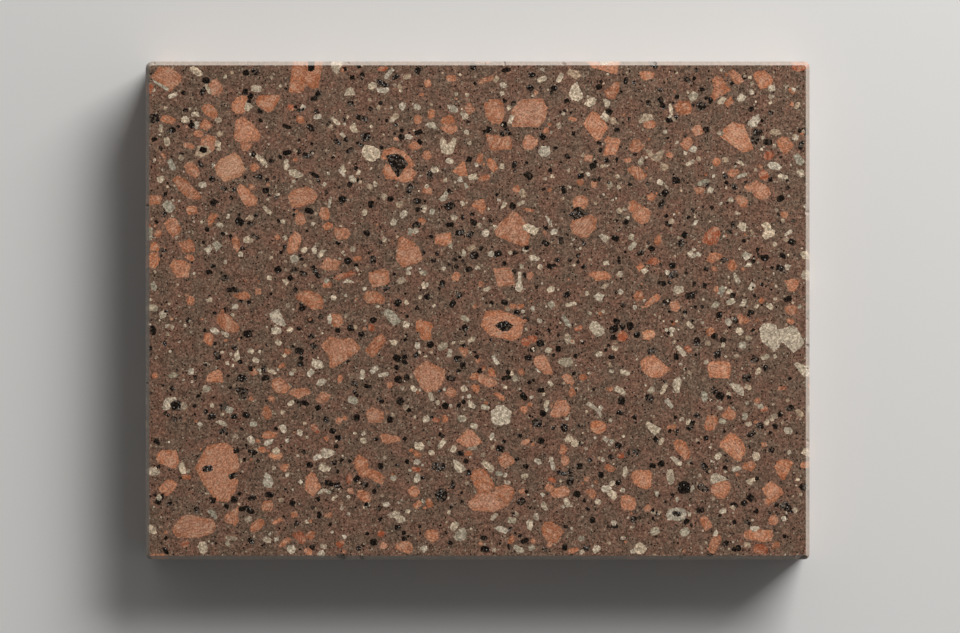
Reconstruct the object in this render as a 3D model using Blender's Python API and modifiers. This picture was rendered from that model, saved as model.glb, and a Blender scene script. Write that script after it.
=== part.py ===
"""A sawn hand sample of rhyolite: one rectangular slab of stone that lies on its back face.

The face that points up is polished flat, with a narrow bevel ground round its rim. The four
corners are worn round, and small chips are broken out of the rim. Sizes are in metres, +Z is up,
and the origin is the middle of the back face. From above, +X is right and +Y is the far side.
"""

import math
import random

import bmesh
import bpy
from mathutils import Matrix, Vector

MM = 0.001

# The slab
LENGTH = 200 * MM
WIDTH = 150 * MM
THICKNESS = 20 * MM

# The flat bevels ground along the rims of the polished face and of the back face
BEVEL_WIDTH = 1.2 * MM
BACK_BEVEL_WIDTH = 0.4 * MM

# The upright edges at the corners, worn by handling. Each radius is more than the bevel's width, so
# that the polished face keeps a corner of its own.
CORNER_RADIUS = {
    ("left", "far"): 2.0 * MM,
    ("right", "far"): 1.6 * MM,
    ("right", "near"): 1.5 * MM,
    ("left", "near"): 1.5 * MM,
}
CORNER_SEGMENTS = 3

# Chips in the rim: the side, the place along it from its middle, how long, and how deep the break
# goes below the bevel. Along the far and near sides the place is an X, along the others a Y.
CHIPS = [
    ("far", -97.4 * MM, 1.2 * MM, 0.30 * MM),
    ("far", -69.4 * MM, 0.9 * MM, 0.35 * MM),
    ("far", -39.0 * MM, 1.1 * MM, 0.25 * MM),
    ("far", 2.2 * MM, 0.9 * MM, 0.25 * MM),
    ("far", 7.8 * MM, 1.5 * MM, 0.50 * MM),
    ("far", 25.7 * MM, 2.4 * MM, 0.35 * MM),
    ("far", 53.1 * MM, 1.9 * MM, 0.45 * MM),
    ("right", 29.4 * MM, 1.8 * MM, 0.50 * MM),
    ("right", -2.8 * MM, 1.2 * MM, 0.30 * MM),
    ("right", -10.7 * MM, 1.4 * MM, 0.45 * MM),
    ("right", -17.6 * MM, 1.1 * MM, 0.25 * MM),
    ("right", -39.5 * MM, 1.5 * MM, 0.35 * MM),
    ("near", -40.8 * MM, 3.2 * MM, 0.50 * MM),
    ("near", -35.2 * MM, 2.6 * MM, 0.40 * MM),
    ("near", 61.0 * MM, 1.6 * MM, 0.25 * MM),
    ("left", 31.5 * MM, 1.4 * MM, 0.30 * MM),
    ("left", -22.0 * MM, 1.1 * MM, 0.25 * MM),
    ("near", 97.8 * MM, 4.6 * MM, 0.75 * MM),
]
CHIP_ROUGHNESS = 0.16
CHIP_SEED = 41

# The stone's average colour and finish
STONE_COLOR = (0.162, 0.096, 0.063, 1.0)
STONE_ROUGHNESS = 0.45

# For each side: the direction it faces
OUTWARD = {
    "far": Vector((0, 1, 0)),
    "right": Vector((1, 0, 0)),
    "near": Vector((0, -1, 0)),
    "left": Vector((-1, 0, 0)),
}


def clear_scene():
    """Remove whatever the file holds at the start."""
    for old in list(bpy.data.objects):
        bpy.data.objects.remove(old, do_unlink=True)


def new_collection(name):
    collection = bpy.data.collections.new(name)
    bpy.context.scene.collection.children.link(collection)
    return collection


def stone_material():
    material = bpy.data.materials.new("rhyolite")
    material.use_nodes = True
    material.diffuse_color = STONE_COLOR
    shader = material.node_tree.nodes["Principled BSDF"]
    shader.inputs["Base Color"].default_value = STONE_COLOR
    shader.inputs["Roughness"].default_value = STONE_ROUGHNESS
    shader.inputs["Metallic"].default_value = 0.0
    return material


def side_distance(side):
    """How far a side's face stands from the slab's middle."""
    return LENGTH / 2 if side in ("right", "left") else WIDTH / 2


def on_side(point, side):
    return abs(point.dot(OUTWARD[side]) - side_distance(side)) < 0.01 * MM


def round_upright_edges(mesh):
    """Round each of the four upright edges with its own radius."""
    for (side_x, side_y), radius in CORNER_RADIUS.items():
        upright = [
            edge for edge in mesh.edges
            if all(on_side(v.co, side_x) and on_side(v.co, side_y) for v in edge.verts)
        ]
        bmesh.ops.bevel(
            mesh, geom=upright, offset=radius, segments=CORNER_SEGMENTS,
            profile=0.5, affect="EDGES",
        )


def weigh_rim_edges(mesh):
    """Give each rim edge its bevel's width as a share of the polished face's bevel."""
    weight = mesh.edges.layers.float.new("bevel_weight_edge")
    for edge in mesh.edges:
        upright = [face.normal.z for face in edge.link_faces]
        if max(upright) > 0.5:
            edge[weight] = 1.0
        elif min(upright) < -0.5:
            edge[weight] = BACK_BEVEL_WIDTH / BEVEL_WIDTH


def slab_mesh():
    """The sawn block, with worn uprights and its rim marked for the bevel."""
    mesh = bmesh.new()
    size = Matrix.Diagonal((LENGTH, WIDTH, THICKNESS, 1.0))
    lift = Matrix.Translation((0, 0, THICKNESS / 2))
    bmesh.ops.create_cube(mesh, size=1.0, matrix=lift @ size)
    round_upright_edges(mesh)
    mesh.normal_update()
    weigh_rim_edges(mesh)
    data = bpy.data.meshes.new("slab")
    mesh.to_mesh(data)
    mesh.free()
    return data


def chip_place(side, along):
    """The point on the unworn rim where a chip is centred."""
    outward = OUTWARD[side]
    sideways = Vector((abs(outward.y), abs(outward.x), 0))
    return outward * side_distance(side) + sideways * along + Vector((0, 0, THICKNESS))


def chip_half_sizes(length, depth):
    """Half the cutter's length and its reach, so that the break has its size on the bevel."""
    bevel_depth = BEVEL_WIDTH / math.sqrt(2)
    reach = bevel_depth + depth
    half_length = length / 2 / math.sqrt(1 - (bevel_depth / reach) ** 2)
    return half_length, reach


def add_chip_cutter(collection, number, side, along, length, depth):
    """A rough lump that lies along the rim and is taken out of the slab."""
    half_length, reach = chip_half_sizes(length, depth)
    draw = random.Random(CHIP_SEED + number)
    mesh = bmesh.new()
    bmesh.ops.create_icosphere(mesh, subdivisions=2, radius=1.0)
    for vertex in mesh.verts:
        vertex.co *= 1 + draw.uniform(-CHIP_ROUGHNESS, CHIP_ROUGHNESS)
    along_x = side in ("far", "near")
    stretch = (half_length, reach, reach) if along_x else (reach, half_length, reach)
    bmesh.ops.scale(mesh, vec=stretch, verts=mesh.verts)
    data = bpy.data.meshes.new(f"chip_{number:02d}")
    mesh.to_mesh(data)
    mesh.free()
    cutter = bpy.data.objects.new(data.name, data)
    cutter.location = chip_place(side, along)
    cutter.hide_render = True
    cutter.display_type = "WIRE"
    collection.objects.link(cutter)


def bevel_rim(slab):
    bevel = slab.modifiers.new("rim_bevel", "BEVEL")
    bevel.limit_method = "WEIGHT"
    bevel.width = BEVEL_WIDTH
    bevel.segments = 1
    bevel.use_clamp_overlap = False


def break_chips_out(slab, cutters):
    chips = slab.modifiers.new("chips", "BOOLEAN")
    chips.operation = "DIFFERENCE"
    chips.solver = "EXACT"
    chips.operand_type = "COLLECTION"
    chips.collection = cutters


def build():
    clear_scene()
    parts = new_collection("rhyolite")
    cutters = new_collection("cutters")
    slab = bpy.data.objects.new("slab", slab_mesh())
    slab.data.materials.append(stone_material())
    parts.objects.link(slab)
    for number, chip in enumerate(CHIPS):
        add_chip_cutter(cutters, number, *chip)
    bevel_rim(slab)
    break_chips_out(slab, cutters)


build()
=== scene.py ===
"""The looks of a sawn hand sample of rhyolite: the polished slab, its crystals and its groundmass.

The rock is made as a real one is: crystals are convex bodies with flat faces, set in a groundmass,
and each flat of the slab cuts through them. The cuts become the faces of one mesh, which keeps for
each place which crystal it lies in and how deep. The material turns these into feldspar, quartz and
groundmass. The rock's lengths are millimetres until its mesh is made.
"""

import math
import random
from itertools import product

import bmesh
import bpy
import numpy as np
from mathutils import Matrix, Vector
from mathutils.geometry import convex_hull_2d, delaunay_2d_cdt


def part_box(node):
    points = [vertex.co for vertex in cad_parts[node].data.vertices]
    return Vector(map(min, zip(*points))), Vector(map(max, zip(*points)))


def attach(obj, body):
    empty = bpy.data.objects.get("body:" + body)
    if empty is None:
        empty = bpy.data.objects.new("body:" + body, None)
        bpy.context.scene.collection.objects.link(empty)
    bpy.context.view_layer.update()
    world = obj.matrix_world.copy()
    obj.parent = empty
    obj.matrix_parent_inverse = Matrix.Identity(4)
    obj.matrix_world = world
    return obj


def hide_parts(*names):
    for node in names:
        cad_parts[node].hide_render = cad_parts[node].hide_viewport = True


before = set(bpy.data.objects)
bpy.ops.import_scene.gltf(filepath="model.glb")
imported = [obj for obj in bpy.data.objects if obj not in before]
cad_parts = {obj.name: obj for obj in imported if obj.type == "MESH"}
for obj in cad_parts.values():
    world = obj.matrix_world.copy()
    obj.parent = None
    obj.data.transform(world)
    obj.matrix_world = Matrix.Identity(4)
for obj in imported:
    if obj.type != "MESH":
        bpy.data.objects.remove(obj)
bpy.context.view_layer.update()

MM = 0.001

# The slab, from the frame
LOW, HIGH = [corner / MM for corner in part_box("slab")]
LENGTH, WIDTH, _ = HIGH - LOW
TOP = HIGH.z

# What the stone's crystals are. The number is what the material reads.
GROUNDMASS, FELDSPAR, PLAGIOCLASE, QUARTZ, GLASSY = range(5)

# Each look: the mineral, and its average colour
LOOKS = {
    "pale": (FELDSPAR, (0.550, 0.280, 0.168)),
    "salmon": (FELDSPAR, (0.435, 0.198, 0.118)),
    "orange": (FELDSPAR, (0.395, 0.162, 0.088)),
    "red": (FELDSPAR, (0.330, 0.100, 0.050)),
    "cream": (PLAGIOCLASE, (0.620, 0.495, 0.358)),
    "tan": (PLAGIOCLASE, (0.455, 0.330, 0.225)),
    "grey": (PLAGIOCLASE, (0.450, 0.376, 0.272)),
    "quartz": (QUARTZ, (0.006, 0.005, 0.004)),
    "speckled": (GLASSY, (0.007, 0.005, 0.004)),
}

# The crystals that the polished face cuts, seen from above, in millimetres from its middle.
# Those with a shape of their own have their corners listed: x, y, x, y and so on. A long or bent
# crystal is a few of these that overlap.
OUTLINED = {
    "pale": [
        (-79.3, 43.3, -77.4, 45.6, -73.2, 47.7, -71.6, 46.4, -69.8, 42.4, -71.4, 40.3, -76.4, 38.6, -78.6,
         41),
        (49.6, -6.5, 51, -5.9, 53.1, -6, 53.5, -7.1, 53.1, -8.2, 51.4, -8.9, 49.9, -8.6),
        (-63.3, -43.9, -62.4, -42.9, -59, -42.8, -58.6, -43.9, -59.6, -45, -62, -44.6),
    ],
    "salmon": [
        (-98.3, 70.2, -95.8, 73.4, -92.6, 73.4, -89.1, 70.4, -89.5, 68.6, -92.4, 65.9, -93.6, 66.2),
        (-80.9, 68.2, -79.8, 69.5, -78.5, 69.6, -76.8, 67.8, -76.6, 66, -77.5, 64.8, -79.8, 64.8, -81.2,
         66),
        (-74, 62.2, -72.4, 64.2, -70.6, 64.8, -69.2, 64.2, -70, 59.4, -72.6, 59.2, -74.1, 60.4),
        (-73.5, 51.6, -72.8, 57.2, -71.3, 58.3, -70, 58, -67.2, 55.8, -65.2, 52.6, -66, 51, -71.8, 50.7),
        (-71.4, 50.6, -68.6, 50.8, -67.8, 49.5, -69.2, 48, -70.6, 47.9, -71.5, 49),
        (-88.6, 43.4, -87.4, 44.6, -85.8, 44.8, -83.9, 42.4, -83.6, 41, -84.9, 39.9, -87.4, 41.2),
        (-83.2, 51.6, -81.2, 53.1, -79.3, 52.3, -78.4, 50.8, -79.6, 48, -81, 46.8, -83.8, 47.6),
        (-29.2, 45.8, -28.2, 48.3, -25.4, 49.2, -22.2, 48, -20.4, 46, -20.6, 44.6, -27, 45),
        (-24.6, 39.4, -22.8, 42.2, -20.8, 43.6, -18.2, 41.4, -19.6, 39.2, -22, 38.4),
        (-21.9, 46.8, -20.2, 46, -18.8, 43.6, -20.4, 42.6),
        (-28.8, 42.2, -27.6, 44.2, -25.6, 43.8, -23.6, 40.6, -23.8, 39.2, -27.6, 39.6),
        (-3.8, 61.2, -3, 62.5, -2, 62.3, -0.6, 60.4, -2.6, 58.8, -3.6, 60),
        (-15, 60, -14, 60.8, -12.8, 60.2, -12.8, 58.6, -14.2, 57.5, -15.1, 58.4),
        (-11.4, 55, -9, 56, -6.4, 55.6, -6, 54.4, -7.8, 52.9, -9.6, 53.6),
        (10.2, 59.6, 11.4, 62.4, 13.6, 63.6, 19.4, 63.9, 21.2, 60.8, 20.2, 57, 18.4, 55.2, 10.4, 55.2),
        (13.4, 50.2, 14.2, 52.5, 15.6, 53, 18.2, 51.6, 18, 49.8, 16, 48.2, 14, 48.6),
        (-7.6, 42, -4.6, 44.9, -3.8, 44.8, -3, 40.6, -4.8, 40.2),
        (-16.8, 46.6, -16.2, 48, -14.8, 48.3, -13.9, 47.2, -14.2, 45.6, -16, 45.4),
        (48.6, 71.8, 50.4, 72.2, 53.2, 71.6, 53, 70.2, 50.4, 69.1, 49.2, 69.8),
        (31.7, 56, 33.6, 59.2, 34.9, 60.1, 36.6, 59, 39.4, 55.2, 37, 51.6, 35.6, 51.1),
        (37.6, 46.6, 38.8, 50.2, 40, 52, 42.8, 51.8, 43, 50.8, 41.6, 46.9),
        (37.9, 51, 39.2, 52.5, 41, 51.6, 39.4, 49.6),
        (49.8, 55.6, 50, 57.4, 52, 57.8, 53.8, 56.4, 53.2, 55, 51.4, 54.6),
        (45.6, 49.2, 46.6, 51.4, 48.4, 51.6, 50.4, 49.6, 48.6, 47.8, 46.2, 47.7),
        (75.3, 71.8, 76.6, 72.6, 78.6, 71.4, 80.3, 69.2, 78.6, 67.9, 77.2, 68.6),
        (64.4, 54.2, 65.4, 55.8, 66.8, 56, 68.4, 54.2, 67.2, 52.8, 65.4, 52.6),
        (61, 50.2, 62.2, 51.8, 63.8, 52.3, 65, 50.6, 63.2, 48, 61.6, 49),
        (73, 52.4, 74.2, 54.8, 76.6, 56.7, 80.2, 56, 83, 48.8, 82, 47.9, 79.8, 47.6),
        (75.2, 41.4, 76.4, 42.7, 78.2, 42.6, 78.8, 41.4, 77, 40.2, 75.6, 40.3),
        (-98.9, 34.6, -95.4, 34.7, -95, 33.6, -95.6, 32, -98.6, 31.8),
        (-72.6, 36.4, -71.6, 38.2, -70.4, 37.8, -66.2, 33.6, -66.8, 31.6, -69.4, 31.3, -70.8, 32.6),
        (-94.4, 26.2, -92.8, 28, -90.8, 27.6, -89.2, 24.8, -89.8, 23, -91.8, 22.2, -93.2, 23.6),
        (-92.8, 13.4, -91.6, 15.4, -88, 15, -86.4, 13.8, -87, 10, -90.6, 9.8),
        (-57.2, 34.2, -55.6, 36.4, -51.4, 37.3, -49.4, 36.4, -48, 34.4, -49.2, 32.6, -53, 31.2, -55.8,
         30.8),
        (-47.8, 29.2, -47, 31.2, -45, 30.8, -44.4, 29, -45, 27.2, -46.8, 27.3),
        (-55.2, 27.8, -54, 29.5, -52.4, 29, -51.6, 26.6, -52.8, 25.6, -54.6, 26),
        (-43.4, 23.8, -42.8, 25, -39, 24.7, -38.2, 23, -39.4, 21.4, -42.4, 21.3),
        (-57.4, 18, -57, 21.4, -55, 24, -53.2, 22.6, -53.2, 20.4, -54.4, 17.6, -56.6, 17),
        (-47.6, 13, -45.4, 16.2, -41.2, 14.8, -42.2, 12.2, -45, 11.9),
        (-32.8, 11.4, -28, 12.6, -26.8, 11.8, -26.4, 8.8, -27.2, 7.8, -31.6, 6.8, -32.8, 9.4),
        (-24.6, 15.2, -24.2, 18.6, -19.4, 20.4, -17.8, 19.2, -16.4, 15.6, -17.4, 14.6, -22.4, 12.9),
        (-24.2, 18.2, -23.8, 21.6, -22.8, 22.4, -19.2, 20.6, -20.6, 18.2),
        (5, 23.8, 5.6, 25.4, 10.6, 29.8, 12.2, 29.3, 14.6, 26.2, 15.8, 22.6, 15.2, 19.4, 13.2, 19.3, 5.6,
         22.4),
        (-12.8, 22.8, -8.1, 23.5, -7.7, 20.6, -9.4, 19.3, -12.8, 20.2),
        (4.6, 12.7, 9.6, 12.9, 10.4, 11.6, 11.2, 7.6, 6.2, 7.1),
        (14.8, 11.4, 16.4, 11.8, 17, 10.6, 15.8, 9.2, 14.8, 9.8),
        (28.6, 32.8, 29.4, 34.2, 31.2, 34.9, 33.2, 33.6, 33, 31.4, 31, 29.6, 29, 31),
        (27.8, 25.6, 28.6, 27.4, 34.2, 29, 36, 27.6, 35.6, 24.8, 33, 21.9, 31, 21.8, 28.4, 23.4),
        (46.4, 28.8, 47.6, 30.6, 50, 31.4, 52.4, 30, 51.4, 26.6, 49.6, 25.9, 47.4, 27),
        (33.6, 10.8, 34.4, 11.8, 38.6, 11.8, 40.4, 10.2, 39.8, 9.2, 35.6, 9),
        (65, 36.8, 66.6, 37.2, 68.4, 36.8, 68, 35.4, 66, 35),
        (80.2, 37.2, 81.2, 38.2, 83.2, 37.4, 83.8, 36.2, 81.4, 35.6),
        (82.4, 38.4, 84, 39.2, 87.6, 37.2, 88.4, 35, 87, 33.6, 84.6, 33.4, 82.8, 35),
        (68.8, 15, 69.8, 17.2, 71.6, 17.6, 74.4, 16.2, 70.6, 14.3),
        (92.4, 8.8, 94.6, 9.6, 96.8, 9, 96.6, 7.2, 95.2, 5.6, 93.6, 5.8),
        (57.4, 2.6, 60.4, 2.8, 61.2, 1, 60, -0.4, 58.4, -0.2),
        (-82, -21.2, -81.4, -19.7, -79.9, -18.4, -78, -17.8, -76.9, -18.6, -76.5, -21.7, -80, -21.8),
        (-62.1, -22.2, -61.8, -21, -60.6, -20.1, -59.4, -20.2, -56, -22.9, -57.4, -24.7,
         -60, -25, -61.3, -24.2),
        (-44.1, -1.1, -41.8, -1, -40.9, -1.8, -40.3, -3.5, -41.4, -4.9, -43.3, -5, -44.1, -3.5),
        (-47.3, -10.7, -44.8, -7.7, -42.9, -8.2, -40.8, -9.6, -41.6, -12.8, -45, -13.2),
        (-43, -8.6, -37.7, -8.3, -35.2, -11.2, -36.4, -12.7, -43.3, -17.4, -44.6, -17.1, -44.9, -12),
        (-33.8, -31.5, -33.3, -29.9, -31.8, -29, -28.3, -30.4, -28.2, -32.3, -29, -33.8, -32.6, -33.8),
        (-49, -27, -46.9, -24.4, -45.6, -24.6, -44.1, -25.7, -45, -27, -46.3, -27.8, -47.8, -27.8),
        (-57.2, -24.8, -56.1, -23.8, -51.8, -23.2, -50.7, -23.8, -50.1, -25, -54, -26.6),
        (-19.6, -18.4, -15.7, -15, -9.7, -17.8, -9.8, -20.1, -10.7, -22.3, -12.2, -24, -15.4, -24.8,
         -16.9, -23.5),
        (-9.8, -24.8, -9.1, -23.6, -7.8, -23.1, -6.3, -24.3, -6.7, -25.9, -8.2, -26.2, -9.3, -25.6),
        (0.8, -4.6, 2.5, -0.1, 7, 0.1, 12.9, -2.1, 14, -3.1, 13.4, -6.9, 12.5, -8.2, 10.2, -9.2, 3.8, -7.6),
        (0.1, -19.5, 1.6, -19.1, 5.3, -20.8, 5.9, -21.8, 5, -22.9, 3.1, -23.1, 0.1, -21.4),
        (16.8, -14.8, 17.4, -13.9, 19.2, -13.4, 20.4, -13.7, 22.3, -17.4, 22.7, -19.5, 19.9, -19, 17.4,
         -16.8),
        (12.6, -29.7, 13.4, -28.7, 14.9, -28.9, 15.1, -30.2, 14.2, -31.1, 13.1, -30.5),
        (49, -15.2, 50.2, -14.2, 53.1, -13.4, 58.1, -17.8, 54.7, -20.4, 52.1, -20.1, 50.2, -18.9, 49.1,
         -17.4),
        (25.2, -19.7, 26.9, -19, 28.2, -19.7, 29.3, -21.6, 28.6, -22.3, 26.7, -21.8, 25.6, -20.7),
        (21.7, -31.4, 23.5, -27.4, 24.8, -26.7, 26.5, -27, 27.8, -29.1, 27.7, -30.6, 26.5, -31.8, 23,
         -32.4),
        (69.2, -16.9, 69.7, -15.7, 70.9, -15.2, 75.2, -15.2, 76.1, -16.1, 76.2, -18.9, 75.6, -20.5, 69.7,
         -20.1),
        (73.4, -31.4, 75.7, -28.9, 77.8, -30.8, 77.8, -31.9, 76.7, -33.1, 73.7, -32.3),
        (-96.8, -44.7, -96.2, -42.8, -94.8, -42, -90.8, -42, -89.9, -44.7, -90.1, -46.2, -91.4, -47.7,
         -96.1, -45.9),
        (-96, -53.3, -93.7, -50.9, -92, -50.8, -90.5, -52, -90.7, -53.3, -92.9, -55.6, -94.2, -55.9,
         -95.5, -55),
        (-85, -47, -81.4, -40.7, -76.9, -39.7, -75, -40.1, -73.3, -41.6, -72.2, -44, -71.7, -46.9, -72.2,
         -48.2, -76, -52, -82, -51.6, -84.4, -49),
        (-84.2, -49, -82.9, -51.8, -78.8, -57.4, -75, -57.6, -72.4, -53.5, -72, -51.4, -73,
         -49, -78, -46),
        (-76.1, -62, -75.2, -60.8, -73.9, -60.4, -72.2, -61.6, -71.8, -63.5, -73, -64.8, -76, -63.7),
        (-74.2, -60.4, -72, -58.9, -71.7, -60.2, -72.2, -61.7),
        (-92, -65.5, -89, -62, -87.1, -61.4, -79.9, -62.9, -79, -64, -78.8, -65.3, -79.9, -67.2, -84.8,
         -68.6, -90.3, -68.4, -91.6, -67),
        (-98.6, -73.6, -97.4, -73.2, -94.6, -73.2, -93.3, -73.8, -94.6, -74.3, -97.6, -74.4),
        (-29.5, -37.7, -28.5, -37.1, -26.4, -37.3, -23.4, -38.6, -23.9, -39.3, -27.1, -40.1, -28.6, -39.8),
        (-51.8, -50.3, -50.3, -48.7, -49.1, -49, -47, -53.1, -49.7, -56, -52, -54.1),
        (-21.2, -54.3, -20.2, -53, -18.7, -52.7, -17.4, -53.7, -17.4, -55, -18.7, -56.1, -20, -56),
        (-62.1, -64.1, -61.4, -63.3, -60, -62.5, -58.9, -62.3, -58.6, -63.3, -61.4, -64.4),
        (-29.6, -70.8, -28.8, -69.6, -27.5, -70.1, -26.9, -71, -27.9, -71.9, -29.2, -71.6),
        (-25, -71.6, -24.3, -70, -21.9, -69.2, -20, -70, -19.4, -71.1, -19.7, -72.7, -21.1, -73.2),
        (-59.9, -70.8, -59.1, -69.5, -57.6, -68.4, -56.5, -68.3, -56, -69.1, -58.2, -71, -59.3, -71.4),
        (-6.6, -39.2, -3.2, -35.7, -1.5, -36, 1.5, -39.6, 0.1, -40.7, -2.2, -41.3, -3.9, -41.1),
        (6, -44.7, 7.2, -43.3, 8.9, -42.6, 11.3, -45, 11, -46.1, 8.2, -47.6, 7, -46.7),
        (0.1, -54.6, 5, -54.6, 9.1, -57.1, 9.5, -58.6, 4.6, -60.8, -1.4, -60.1, -2.9, -59, -2.8, -57.6),
        (25.2, -44.1, 26.1, -43.5, 27.3, -44.1, 27.8, -45.4, 27.1, -46.3, 25.8, -47.1, 25.1, -45.6),
        (46.2, -50.1, 46.7, -48.6, 48.2, -48, 51.4, -48, 52.6, -49, 52.3, -52.9, 51, -53.8, 49.5, -53.6,
         47, -52.2),
        (32.1, -54.6, 32.9, -53.8, 34.8, -53.8, 35.7, -54.8, 35.5, -55.9, 34.6, -56.9),
        (21.9, -55.2, 22.6, -53.7, 26.3, -52.7, 27.7, -54.1, 27.5, -55.4, 24.6, -56.5, 22.8, -56.3),
        (42.8, -57.4, 43.3, -56.1, 44.6, -55.3, 47.4, -56.5, 47.8, -58.2, 47.4, -59.7, 46.1, -60.3, 44.4,
         -60.1, 43.3, -59),
        (50, -59.5, 51, -58.3, 51.9, -58.5, 52.6, -59.3, 51.7, -60.5, 50.4, -60.5),
        (72.8, -40.9, 73.3, -39.4, 76.1, -36.6, 77.6, -37.1, 79.9, -39.6, 80.8, -42.4, 79.1, -45.4, 77.8,
         -45.2),
        (70.5, -52.9, 72.9, -51.1, 75.2, -51.2, 76.1, -52.2, 76.2, -53.5, 75, -56.3, 73.7, -56.8, 72.2,
         -56.5, 70.2, -54.6),
        (85.5, -53.7, 88.3, -51.2, 91.4, -53.5, 92.1, -55, 89.1, -57.8, 87.6, -57.1),
        (70.3, -68.6, 72.2, -67.5, 73.3, -68, 73.4, -69.2, 71.3, -73.2, 70.2, -73.2, 69.4, -71.8),
        (87.4, -63, 88.2, -61.8, 89.4, -61.5, 90.5, -62.4, 90.5, -63.8, 89.4, -64.7, 88, -64.3),
        (80.1, -68, 80.3, -66.7, 81.6, -65.9, 88.7, -66.1, 89, -67.6, 88.5, -69.3, 86.8, -69.9, 80.8,
         -68.7),
        (-52.4, -72.3, -51.8, -71.6, -49.7, -71.7, -49.9, -73.6, -51.8, -73.5),
    ],
    "orange": [
        (-66.9, 63.3, -65.8, 64.7, -59.9, 64.9, -59.4, 63.8, -61.9, 60, -63.2, 59.5, -66.4, 61.8),
        (-83.1, 61, -81.7, 62.4, -79.9, 61.9, -78.4, 60.2, -78, 58.6, -79.4, 57.4, -82.4, 59.4),
        (-83.7, 56, -82.4, 57.6, -80.6, 57, -80, 55.4, -81.4, 54.2, -83.4, 54.8),
        (-56.9, 65.6, -56.2, 70.6, -54.9, 75, -51.6, 75, -51.9, 67.1, -52.8, 65.5),
        (-51.6, 71, -50.6, 75, -46.6, 75, -47.9, 67.1, -49.9, 66.7, -51.4, 67.9),
        (-52, 75, -46.4, 75, -47.6, 69.2, -49, 66.6, -51.8, 67.8),
        (-11.2, 56.6, -10.6, 58, -8.6, 59, -7, 58.2, -6.8, 56.4, -9.5, 55.4),
        (1.9, 62.2, 3.8, 63.6, 6.4, 63.6, 7.8, 62, 8, 58.6, 7.4, 56.4, 4.6, 56.1, 2.6, 58),
        (2.3, 53, 9.6, 52.5, 10.4, 50.8, 10.2, 48.6, 4, 48.2),
        (2.6, 45.4, 3.8, 46, 5.2, 45, 6.2, 42.8, 4.8, 41.6, 3.4, 43),
        (38.2, 66, 41.6, 68.9, 42.8, 68.6, 42.6, 66.2, 41.2, 63.6, 39, 63.6),
        (44.8, 42.4, 46.4, 43.6, 48.8, 43, 51.2, 40.8, 50, 39.3, 47.8, 39.4),
        (59.3, 61.6, 60.6, 63, 63.4, 63.2, 64.6, 61.4, 64.2, 59.2, 61, 58.7, 59.6, 60.2),
        (70.6, 69.4, 71.8, 70.6, 73.4, 70.2, 75, 68, 72, 65.8, 71, 67.4),
        (71.2, 67, 75, 67.8, 76.4, 66.4, 71.2, 63.2, 70, 63.9),
        (82.9, 71, 84, 72, 86.4, 72.3, 88.4, 70.6, 89, 69.2, 88, 67.2, 85, 66.6),
        (73.9, 62.6, 76.4, 64.5, 77, 62.8, 75.4, 60.9),
        (90, 51.2, 91.6, 52.4, 93.4, 52, 95.4, 49.8, 93.4, 47.4, 92.2, 47, 90.2, 49.6),
        (70.6, 44.6, 71.4, 46, 73, 45.8, 73.2, 44.4, 71.8, 43.3, 70.8, 43.6),
        (-92, 39.4, -90.4, 40.6, -88, 39.6, -83, 34.4, -83.6, 33.4, -86.8, 33.5, -89.6, 36),
        (-81.4, 27.6, -80.2, 29.4, -78, 28.8, -80.4, 25.2, -81.2, 25.6),
        (-90.2, 20.4, -86.4, 21.6, -85, 19.8, -85.2, 17.6, -88.6, 17.4),
        (-88.2, 16, -87.2, 17.2, -85.8, 16.6, -84.9, 15.2, -86.4, 14.8),
        (-98.8, 14.6, -98, 17.6, -96.4, 17.4, -95.6, 15.2, -97, 12.5, -98.6, 13),
        (-87.8, 3.2, -86.6, 4.6, -85, 3.6, -85.8, 1.4, -87.2, 1.8),
        (-74, 21.4, -72.8, 22.8, -71.6, 21, -71.6, 18.6, -72.4, 17.4, -73.6, 18.8),
        (-74.2, 4.6, -70, 5.8, -68.2, 4.6, -68.8, 3.4, -71.4, 3.2),
        (-46.8, 25.4, -45.2, 26.6, -43.4, 26, -43.8, 24.6, -46, 24.2),
        (-55.1, 4, -54, 5.2, -51, 6.2, -47.8, 5, -46.4, 3.4, -46.6, 0.6, -49.6, 0.2),
        (-34.6, 4.2, -33.4, 5.8, -30.6, 5.8, -27.8, 3.8, -28, 2, -33.4, 2.2),
        (-1.8, 31.6, -0.6, 33.2, 1.8, 33.6, 2.6, 31.4, 1.4, 29),
        (-18, 27.6, -16.6, 28, -15.4, 27, -16.4, 25.8, -17.8, 26),
        (-8, 10, -7, 11.6, -5.6, 11.6, -5, 10.4, -6, 8.8, -7.4, 8.9),
        (45.1, 30.6, 45.6, 32.6, 47, 33.4, 49.6, 31.6, 48.4, 29.8, 46, 29.6),
        (51, 34.8, 52.6, 35.6, 53.8, 34.4, 52.8, 32.9, 51.2, 33.4),
        (47.6, 13.2, 49, 14.4, 50.2, 13.4, 48.8, 11.6),
        (46.8, 4.4, 48, 6, 49.6, 5.8, 50, 3.8, 48.2, 2.6),
        (50, 1.2, 51.6, 3.4, 53.8, 5, 55, 4.8, 54.6, 3, 51, 0.9),
        (77.4, 33.6, 78.4, 34.8, 80.4, 34.2, 81.4, 33, 81, 31, 79.2, 31.2),
        (90.9, 29.4, 92.6, 30, 93.8, 29.2, 93, 27.7, 91.6, 28.2),
        (75.1, 13.4, 76, 15.2, 77.2, 15.4, 78.2, 13.4, 76.8, 11.7, 75.6, 12.2),
        (-78, -1.1, -76.5, -0.6, -75, -1.2, -71.6, -5, -72, -6.2, -73.9, -6.8, -75.6, -6.4, -78.8, -3.8),
        (-82.2, -6.9, -80.5, -6.7, -79.4, -8, -80.1, -11.2, -82.5, -9.2),
        (-68.7, -18.8, -68.1, -17.5, -66.9, -17.6, -65.8, -18.8, -66.8, -19.5, -68.1, -19.6),
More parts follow.
